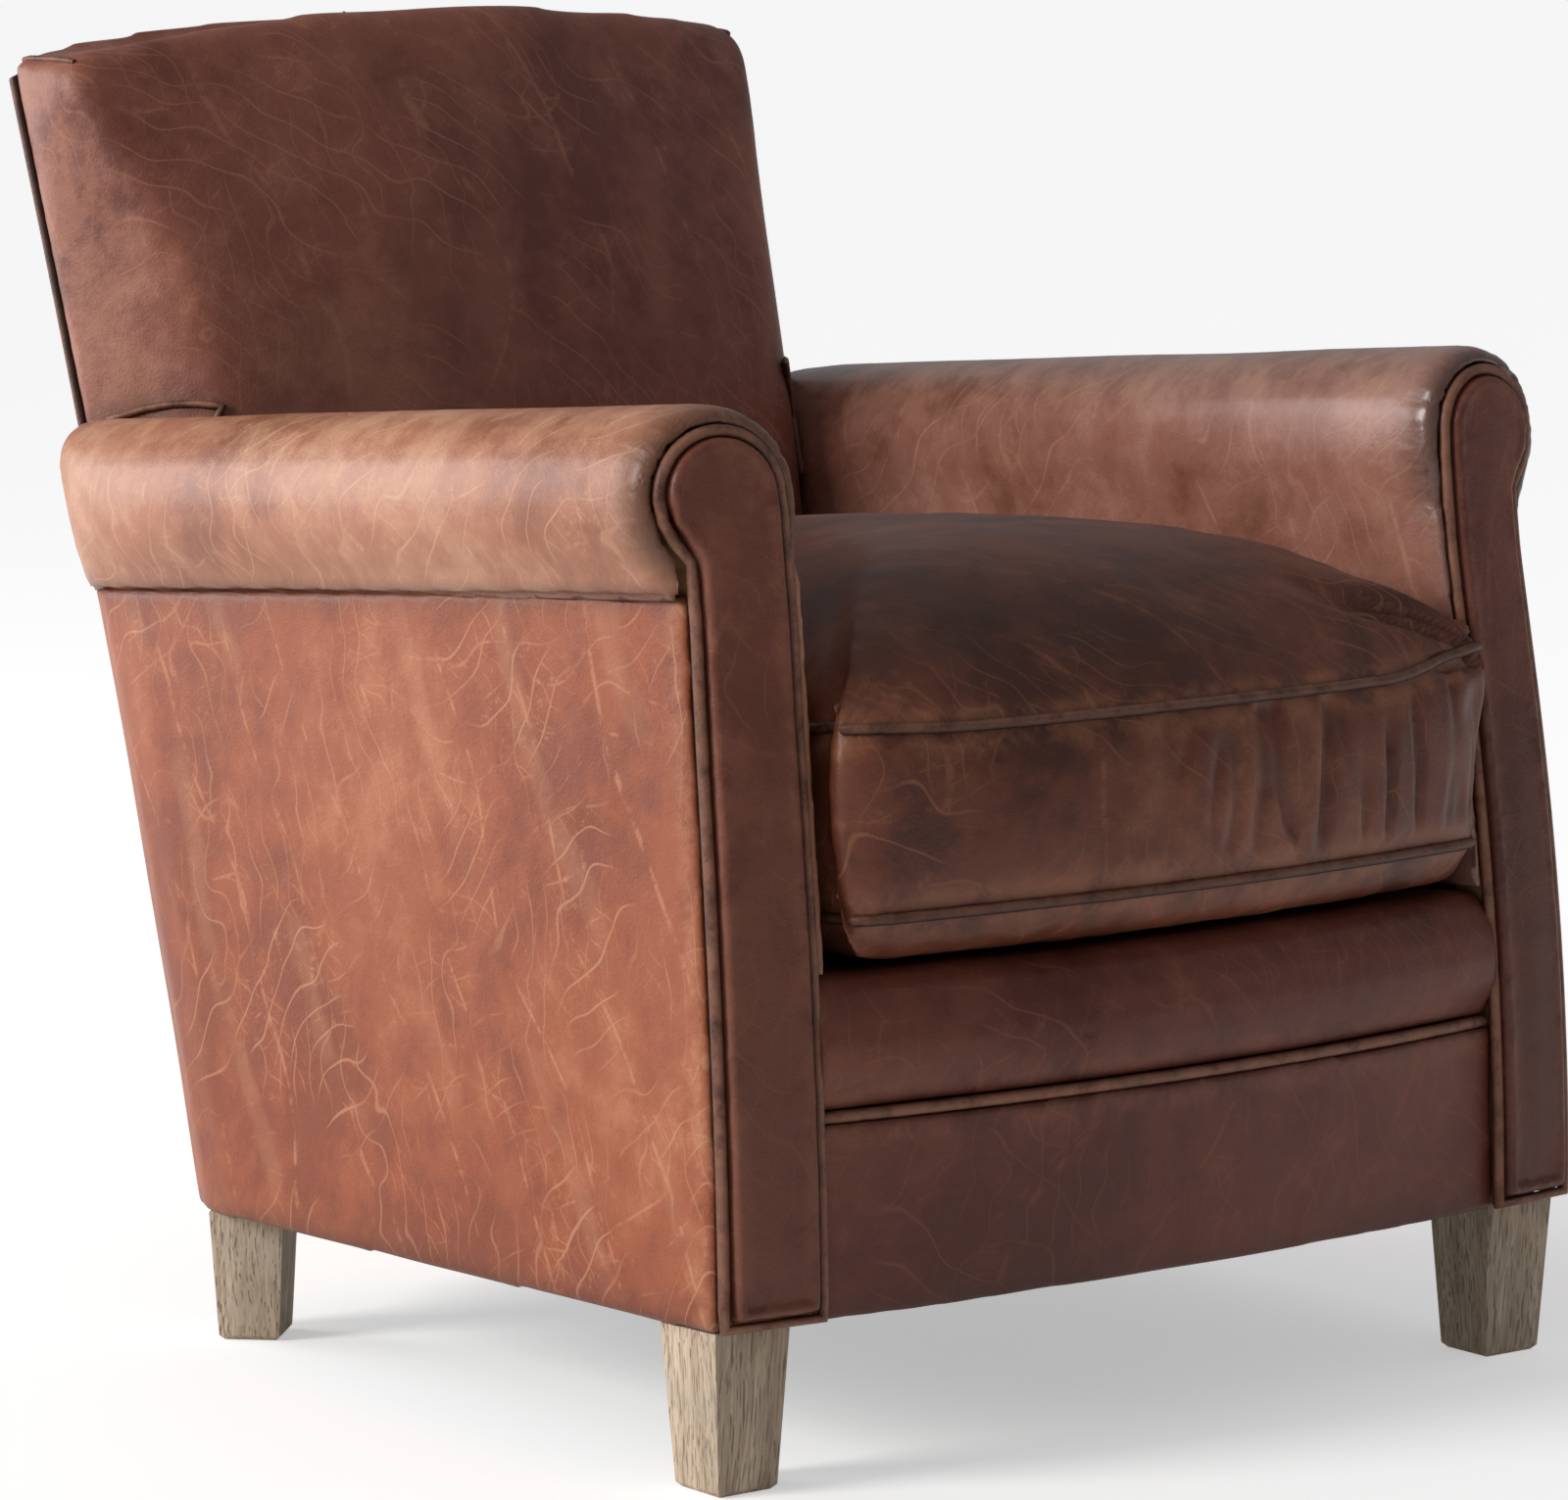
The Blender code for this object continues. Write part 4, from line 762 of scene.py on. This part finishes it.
def inflate(piece, look, heldShare):
    rest = [v.co.copy() for v in piece.data.vertices]
    held = piece.vertex_groups.new(name="held")
    for vertex in piece.data.vertices:
        share = heldShare(bodyUnplace @ vertex.co)
        if share > 0.01:
            held.add([vertex.index], share, "REPLACE")
    chosen(piece)
    modifier = piece.modifiers.new("Filling", "CLOTH")
    settings = modifier.settings
    settings.quality = 5
    settings.use_pressure = True
    settings.uniform_pressure_force = look["pressure"]
    settings.effector_weights.gravity = 0.0
    settings.vertex_group_mass = "held"
    settings.tension_stiffness = settings.compression_stiffness = 18.0
    settings.shear_stiffness = 8.0
    settings.bending_stiffness = 0.8
    settings.air_damping = 2.0
    modifier.point_cache.frame_start, modifier.point_cache.frame_end = 1, look["frames"]
    for step in range(1, look["frames"] + 1):
        bpy.context.scene.frame_set(step)
    applyAll(piece)
    bpy.context.scene.frame_set(1)
    for vertex, start in zip(piece.data.vertices, rest):
        move = vertex.co - start
        if move.length > look["cap"]:
            vertex.co = start + move * (look["cap"] / move.length)
    piece.vertex_groups.clear()


def makeSeatCushion():
    piece = copyOf("seat_cushion", "seatCushion")
    c, look = cushion, cushionLook
    remesh(piece, look["voxel"], 2)
    carve(piece, lambda place, normal: -look["shrink"])

    def shapeCorners(place):
        if place.x < 0:
            place.z -= earLift(-place.x, place.y, place.z) - earLift(place.x, place.y, place.z)
        place.x, place.y = roundCorner(place.x, place.y, place.z)
        return place

    reshape(piece, shapeCorners)
    distance = nearTo([seams["cushionLow"], seams["cushionHigh"]])
    relax(piece, look["relax"], lambda place: ease(distance(place), 0.008, 0.05))

    def held(place):
        nearSeam = 1 - ease(distance(place), 0.005, 0.014)
        resting = 1 - ease(place.z, 0.206, 0.222)
        return max(nearSeam, resting)

    inflate(piece, look, held)
    relax(piece, 2)
    subdivide(piece)

    def boxingShare(place):
        risen = ease(place.z, c["lowSeam"] + 0.002, c["lowSeam"] + 0.030)
        return risen * (1 - ease(place.z, c["highSeam"] - 0.008, c["highSeam"]))

    def creaseShare(place):
        # long upright creases of the boxing, deepest towards its far front corner
        front = 1 - ease(place.y, -0.01, 0.08)
        farther = ease(place.x, -0.10, 0.10)
        lean = place.x - 0.16 * (place.z - c["lowSeam"])
        line = noise.noise(Vector((lean * 34.0 + 3.0, place.y * 20.0, place.z * 7.0)))
        depth = 0.65 + 1.2 * ripple(place, (26.0, 10.0, 16.0), 12.0)
        crease = math.exp(-(line / 0.13) ** 2) * min(max(depth, 0.0), 1.0)
        return boxingShare(place) * crease * (0.10 + 0.90 * front * farther)

    def wrinkles(place, normal):
        near = distance(place)
        move = 0.0
        if boxingShare(place) > 0:
            move -= look["crease"] * creaseShare(place)
            move += look["billow"] * boxingShare(place) * ripple(place, (20.0, 20.0, 9.0), 7.7)
        if place.z > c["highSeam"]:
            ear = Vector((abs(place.x) - c["frontHalfWidth"] + 0.002, place.y - c["frontRun"] - 0.002))
            spread = ear.length
            angle = math.atan2(ear.y, -ear.x)
            pinched = 1.0 if place.x > 0 else 0.2
            line = noise.noise(Vector((angle * 4.0 + 1.7, spread * 3.0, 2.0)))
            fold = 0.5 - 1.5 * math.exp(-(line / 0.16) ** 2)
            reach = ease(spread, 0.004, 0.03) * (1 - ease(spread, 0.07, 0.21))
            move += look["pinch"] * pinched * fold * reach
            move += look["crownWaves"] * ripple(place, (24.0, 24.0, 10.0), 1.3)
            nearSeam = 1 - ease(near, 0.0, 0.035)
            move += look["seamWaves"] * ripple(place, (60.0, 30.0, 10.0), 4.4) * nearSeam
        if place.z < c["lowSeam"]:
            move += look["footWaves"] * ripple(place, (50.0, 40.0, 12.0), 9.4)
        return move * ease(near, 0.002, 0.010)

    # darker along the seams, dirt with painted shade in the groove; the top painted darker as painted shade
    # from the arm; painted shade in the boxing's creases
    def dirt(place, normal):
        seam = 0.8 * math.exp(-(distance(place) / 0.007) ** 1.3)
        return max(seam, 0.28 * ease(normal.z, 0.3, 0.9), 0.6 * creaseShare(place))

    carve(piece, wrinkles)
    paint(piece, "dirt", dirt)
    # a paler band along the seams, wear and a painted highlight on the rounded edge
    paint(piece, "wear", lambda place, normal: 0.5 * math.exp(-((distance(place) - 0.011) / 0.006) ** 2))
    reshape(piece, lambda place: Vector((earPush(place.x, place.y), place.y, place.z)))
    finishPiece(piece, "cushionLeather", ["seat_cushion"], 80)


# foam back
backLook = {"voxel": 0.0074, "relax": 45, "fill": 0.85, "waves": 0.0018, "lowWaves": 0.0030,
            "seamWaves": 0.0012}


def makeInsideBack():
    piece = copyOf("inside_back", "insideBack")
    remesh(piece, backLook["voxel"], 3)
    edge = nearTo([seams["back"]])
    relax(piece, backLook["relax"], lambda place: ease(edge(place), 0.010, 0.045))
    subdivide(piece)
    junctions = nearTo([densePath(junctionPath(-1)), densePath(junctionPath(1))])

    def wrinkles(place, normal):
        low = 1 - ease(place.z, 0.46, 0.64)
        nearArm = math.exp(-(junctions(place) / 0.05) ** 2)
        move = backLook["waves"] * ripple(place, (9.0, 9.0, 5.0), 2.2)
        move += backLook["lowWaves"] * ripple(place, (17.0, 8.0, 4.0), 6.1) * low
        move += backLook["seamWaves"] * ripple(place, (34.0, 30.0, 14.0), 1.7) * nearArm
        return move * ease(edge(place), 0.002, 0.012)

    carve(piece, wrinkles)

    # darker along its welt, dirt with painted shade in the groove; painted shade low on its front by the
    # cushion and along the seams against the arms
    def dirt(place, normal):
        lowPaintedShade = 0.8 * (1 - ease(place.z, 0.42, 0.52)) * ease(-normal.y, 0.0, 0.5)
        return max(0.7 * math.exp(-(edge(place) / 0.006) ** 1.3), lowPaintedShade,
                   0.75 * math.exp(-(junctions(place) / 0.009) ** 1.3))

    # the back's sides are painted paler, a painted highlight where they are lit
    def wear(place, normal):
        return 0.36 * ease(abs(normal.x), 0.40, 0.95)

    paint(piece, "dirt", dirt)
    paint(piece, "wear", wear)
    finishPiece(piece, "backLeather", ["inside_back"], 80)


# padded arms
armLook = {"voxel": 0.004, "relax": 8, "groove": 0.0032, "fill": 0.85, "endTuck": 0.010, "waves": 0.0011,
           "frontWaves": 0.0012, "seamWaves": 0.0012}


def makeArm(side, name):
    piece = copyOf("arm_cover_" + name, name + "ArmCover")
    tuck = tubeAlong(name + "Tuck", [(tuckPath(side), tuckSeam["radius"], False)])
    chosen(piece)
    tuck.select_set(True)
    bpy.ops.object.join()
    s = armShape
    distance = nearTo([seams["facing" + name.capitalize()]])
    remesh(piece, armLook["voxel"])
    relax(piece, armLook["relax"], lambda place: min(ease(distance(place), 0.004, 0.02),
                                                     ease(abs(place.z - s["seamRise"]), 0.004, 0.02)))
    junction = nearTo([densePath(junctionPath(side))])
    seamEnd = backRun(s["seamRise"]) - s["rollEndSet"]

    def frontDistance(place):
        return max(place.y - armFrontRun(place.x, place.z), 0.0)

    def rollAngle(place):
        return math.atan2(place.z - s["scrollRise"], abs(place.x) - s["scrollX"])

    def wrinkles(place, normal):
        front = frontDistance(place)
        turnOver = 1 - ease(front, 0.0, 0.05)
        nearBack = math.exp(-(junction(place) / 0.030) ** 2)
        outer = ease(abs(place.x), 0.322, 0.334)
        move = -armLook["groove"] * outer * math.exp(-(abs(place.z - s["seamRise"]) / 0.007) ** 1.6)
        move += armLook["waves"] * ripple(place, (10.0, 7.0, 10.0), 5.0) * ease(front, 0.0, 0.03)
        folds = noise.noise(Vector((rollAngle(place) * 8.0, front * 16.0, 1.0)))
        move += armLook["frontWaves"] * turnOver * folds
        move += armLook["seamWaves"] * ripple(place, (34.0, 34.0, 20.0), 8.8) * nearBack
        return move

    def tuckedEnd(place):
        # the roll's upper rear end is drawn in where it is sewn to the back
        share = ease(place.z, 0.49, 0.556) * ease(place.y, seamEnd - 0.05, seamEnd + 0.012)
        place.y -= armLook["endTuck"] * share * ease(abs(place.x), 0.285, 0.31)
        return place

    reshape(piece, tuckedEnd)
    carve(piece, wrinkles)

    # darker along the facing seam, dirt with painted shade in the groove; painted shade where the roll
    # turns to the front, along the tuck seam, low on the inside by the cushion and along the seam against
    # the back
    def dirt(place, normal):
        front = frontDistance(place)
        lip = 0.85 * math.exp(-(front / 0.026) ** 1.8) * ease(place.z, 0.42, 0.47)
        seam = math.exp(-(abs(place.z - s["seamRise"]) / 0.009) ** 1.2)
        seam *= 0.8 * ease(abs(place.x), 0.32, 0.335)
        inside = 0.4 * (1 - ease(place.z, 0.36, 0.44)) * (1 - ease(abs(place.x), 0.27, 0.30))
        if side > 0:
            # the far roll is painted darker along its crown
            seam = max(seam, 0.40 * ease(place.z, 0.505, 0.550))
        return max(0.8 * math.exp(-(distance(place) / 0.006)), lip, seam, inside,
                   0.6 * math.exp(-(junction(place) / 0.008) ** 1.3))

    def wear(place, normal):
        return 0.35 * ease(normal.z, 0.1, 0.9) * ease(frontDistance(place), 0.02, 0.06)

    def pleat(place, normal):
        front, angle = frontDistance(place), rollAngle(place)
        fold = noise.noise(Vector((angle * 18.0, front * 26.0, 3.0 + side)))
        fold += 0.6 * noise.noise(Vector((angle * 40.0, front * 36.0, 8.0 + side)))
        return fold * (1 - ease(front, 0.006, 0.05)) * ease(place.z, 0.42, 0.47)

    paint(piece, "dirt", dirt)
    paint(piece, "wear", wear)
    paint(piece, "pleat", pleat)
    leather = "rollLeather" if side < 0 else "farRollLeather"
    finishPiece(piece, leather, ["arm_cover_" + name], 80)


# stretched panels: leather pulled over boards, its edges soft and turned in at the seams
panelLooks = {
    "side": {"voxel": 0.0046, "relax": 9, "grow": 0.0004, "reach": 0.007, "lowShade": 0.0,
             "material": "saddleLeather", "slot": "tan_leather"},
    "rear": {"voxel": 0.0056, "relax": 9, "grow": 0.0, "reach": 0.007, "lowShade": 0.0,
             "material": "saddleLeather", "slot": "tan_leather"},
    # the facings are painted darker towards the foot, as painted shade
    "facing": {"voxel": 0.0028, "relax": 4, "grow": 0.0009, "reach": 0.005, "lowShade": 0.30,
               "material": "shadedLeather", "slot": "dark_leather"},
    "rail": {"voxel": 0.0038, "relax": 5, "grow": 0.0003, "reach": 0.006, "lowShade": 0.0,
             "material": "shadedLeather", "slot": "dark_leather"},
}
panelWaves = 0.0007
railEnds = {"widening": 0.0045, "fromX": 0.20, "fullX": 0.255, "fill": 0.9}


# darker towards the hem, and painted shade along the tuck seam under the roll
def edgeDarkening(place, seamRise):
    hem = math.exp(-max(place.z - hemRise(place.y), 0.0) / 0.010)
    return 0.75 * max(hem, math.exp(-abs(seamRise - place.z) / 0.006))


def makePanel(node, name, kind, near, ridges=None):
    look = panelLooks[kind]
    piece = copyOf(node, name)
    if ridges:
        ridge = tubeAlong(name + "Ridge", ridges)
        chosen(piece)
        ridge.select_set(True)
        bpy.ops.object.join()
    remesh(piece, look["voxel"])
    if kind == "rail":
        for vertex in piece.data.vertices:
            share = ease(abs(vertex.co.x), railEnds["fromX"], railEnds["fullX"])
            vertex.co.x += math.copysign(railEnds["widening"], vertex.co.x) * share
    seamRise = armShape["seamRise"] if kind == "side" else 1.0
    relax(piece, look["relax"], lambda place: ease(abs(place.z - seamRise), 0.002, 0.014))
    distance = nearTo([seams[n] for n in near])
    reach = look["reach"]

    def swell(place, normal):
        waves = panelWaves * ripple(place, (13.0, 10.0, 8.0), 3.0)
        return look["grow"] + waves * ease(distance(place), 0.004, 0.03)

    # darker along the seams, dirt with painted shade in the groove
    def dirt(place, normal):
        seam = 0.75 * math.exp(-(distance(place) / reach) ** 1.2)
        return max(seam, edgeDarkening(place, seamRise), look["lowShade"] * (1 - ease(place.z, 0.10, 0.45)))

    # a paler band a little way in from the seams, a painted highlight on the rounded edge
    def wear(place, normal):
        return 0.35 * math.exp(-((distance(place) - reach * 2.4) / (reach * 1.1)) ** 2)

    carve(piece, swell)
    paint(piece, "dirt", dirt)
    paint(piece, "wear", wear)
    finishPiece(piece, look["material"], [node], 70)


def makeLeg(end, name):
    piece = copyOf("leg_" + end + "_" + name, end + name.capitalize() + "Leg")
    edges = piece.modifiers.new("Rubbed edge", "BEVEL")
    edges.limit_method, edges.angle_limit = "ANGLE", math.radians(40)
    edges.width, edges.segments = 0.0016, 3
    applyAll(piece)
    finishPiece(piece, "oak", ["leg_" + end + "_" + name], 40)


# pieces that show their own solids, by name up to the side, and whole names
pairedNodes = {
    "beech": ["arm_board_", "arm_rail_", "arm_stump_", "arm_tack_rail_", "back_post_", "side_rail_",
              "corner_block_front_", "corner_block_back_"],
    "steel": ["leg_bolt_front_", "leg_bolt_back_"]}
singleNodes = {
    "beech": ["back_lower_rail", "back_rail", "back_top_rail", "front_rail"],
    "jute": ["back_webbing_1", "back_webbing_2", "back_webbing_3"],
    "steel": ["seat_spring_1", "seat_spring_2", "seat_spring_3", "seat_spring_4"],
    "canvas": ["seat_deck"], "dustCloth": ["dust_cover"]}


def dressPlainNodes():
    looks = {name: look for look, names in singleNodes.items() for name in names}
    for look, names in pairedNodes.items():
        looks.update({name + side: look for name in names for side in ("left", "right")})
    for node, look in looks.items():
        mesh = bpy.data.objects[node].data
        mesh.materials.clear()
        mesh.materials.append(materials[look])


print("making the cushion")
makeSeatCushion()
cushionTree = treeOf("seatCushion")
print("making the back")
makeInsideBack()
softBackTree = treeOf("insideBack")
print("making the arms and panels")
facingRidge = {"inset": 0.0125, "forward": -0.0015, "radius": 0.0035}
for side, name in ((-1, "left"), (1, "right")):
    seamName = "facing" + name.capitalize()
    makeArm(side, name)
    makePanel("outside_arm_" + name, name + "SidePanel", "side", [seamName, "back"])
    ridge = (facingPath(side, facingRidge["inset"], facingRidge["forward"]), facingRidge["radius"], True)
    makePanel("arm_facing_" + name, name + "Facing", "facing", [seamName], [ridge])
    seam = facingPath(side, piping["radius"], piping["forward"])
    makePiping(name + "FacingPiping", [(seam, piping["radius"], True)], ["facing_welt_" + name], frontOut)
    makeLeg("front", name)
    makeLeg("back", name)
makePanel("outside_back", "outsideBack", "rear", ["back"])
makePanel("front_apron", "frontApron", "rail", ["rail"])
makePanel("front_lip", "frontLip", "rail", ["rail"])
backSeams = [(backWeltPath(), piping["slim"], False)]
for side in (-1, 1):
    backSeams.append((densePath(junctionPath(side)), piping["junction"], False))
    backSeams.append((densePath(shoulderPath(side, softBackTree)), piping["shoulder"], False))
makePiping("backPiping", backSeams, ["back_welt"], rearOut)
makePiping("railPiping", [(railPath(), piping["radius"], False)], ["rail_welt"],
           lambda place: Vector((0, -1, 0)))
for level in ("low", "high"):
    seam = densePath(cushionSeam(cushion[level + "Seam"], piping["slim"]), True, 0.008)
    seam = onSurface(seam, cushionTree, piping["slim"])
    makePiping("cushion" + level.capitalize() + "Piping", [(seam, piping["slim"], True)],
               ["cushion_welt_" + level], sideOut, "darkPiping")
dressPlainNodes()

# camera, floor and light
print("setting the camera and the light")
cameraLook = {"place": (-2.955, bodyY - 3.56, 1.091), "yaw": math.radians(36.770),
              "pitch": math.radians(8.133), "roll": math.radians(-0.344), "focalPixels": 7684.61,
              "imageWidth": 1600, "sensor": 36.0}
floorLook = {"size": 40.0, "colour": (0.9, 0.9, 0.9, 1.0), "glow": (0.44, 0.44, 0.44, 1.0), "rough": 0.9}


def makeCamera():
    c = cameraLook
    data = bpy.data.cameras.new("camera")
    data.sensor_width, data.sensor_fit = c["sensor"], "HORIZONTAL"
    data.lens = c["focalPixels"] / c["imageWidth"] * c["sensor"]
    data.clip_end = 100.0
    a, t, r = c["yaw"], c["pitch"], c["roll"]
    ahead = Vector((math.sin(a) * math.cos(t), math.cos(a) * math.cos(t), -math.sin(t)))
    right = Vector((math.cos(a), -math.sin(a), 0.0))
    up = right.cross(ahead)
    across = right * math.cos(r) + up * math.sin(r)
    upwards = up * math.cos(r) - right * math.sin(r)
    turn = Matrix((across, upwards, -ahead)).transposed()
    camera = bpy.data.objects.new("camera", data)
    camera.matrix_world = Matrix.Translation(c["place"]) @ turn.to_4x4()
    bpy.context.scene.collection.objects.link(camera)
    bpy.context.scene.camera = camera


def makeFloor():
    bpy.ops.object.select_all(action="DESELECT")
    bpy.ops.mesh.primitive_plane_add(size=floorLook["size"], location=(0, 0, 0))
    floor = bpy.context.active_object
    floor.name = "floor"
    look = Look("paleFloor")
    rays = look.node("LightPath")
    seen = Val(look, rays.outputs["Is Camera Ray"]).most(Val(look, rays.outputs["Is Glossy Ray"]))
    look.shader.inputs["Base Color"].default_value = floorLook["colour"]
    look.shader.inputs["Roughness"].default_value = floorLook["rough"]
    look.shader.inputs["Specular IOR Level"].default_value = 0.1
    look.set("Emission Color", look.blend(seen, (0, 0, 0, 1), floorLook["glow"]))
    look.shader.inputs["Emission Strength"].default_value = 1.0
    floor.data.materials.append(look.material)


sunLook = {"azimuth": math.radians(14.0), "height": math.radians(25.0), "strength": 2.0,
           "angle": math.radians(22.0), "colour": (1.0, 0.985, 0.96)}
windowLook = {"place": (-2.0, 3.2, 1.25), "aim": (0.0, 0.0, 0.4), "size": 2.2, "power": 56.0,
              "colour": (0.96, 0.98, 1.0)}
skyLook = {"colour": (0.95, 0.97, 1.0, 1.0), "strength": 0.28}


def makeLight():
    s, w = sunLook, windowLook
    sun = bpy.data.lights.new("keySun", "SUN")
    sun.energy, sun.angle, sun.color = s["strength"], s["angle"], s["colour"]
    window = bpy.data.lights.new("softWindow", "AREA")
    window.shape, window.size, window.energy, window.color = "DISK", w["size"], w["power"], w["colour"]
    level = math.cos(s["height"])
    toSun = Vector((-level * math.cos(s["azimuth"]), level * math.sin(s["azimuth"]), math.sin(s["height"])))
    toWindow = Vector(w["place"]) - Vector(w["aim"])
    for data, place, away in ((sun, toSun * 5, toSun), (window, Vector(w["place"]), toWindow)):
        lamp = bpy.data.objects.new(data.name, data)
        lamp.location = place
        lamp.rotation_euler = away.to_track_quat("Z", "Y").to_euler()
        bpy.context.scene.collection.objects.link(lamp)
    world = bpy.data.worlds.new("studio")
    bpy.context.scene.world = world
    world.use_nodes = True
    background = world.node_tree.nodes["Background"]
    background.inputs["Color"].default_value = skyLook["colour"]
    background.inputs["Strength"].default_value = skyLook["strength"]
    bpy.context.scene.view_settings.view_transform = "Standard"


makeCamera()
makeFloor()
makeLight()

print("all pieces are made")
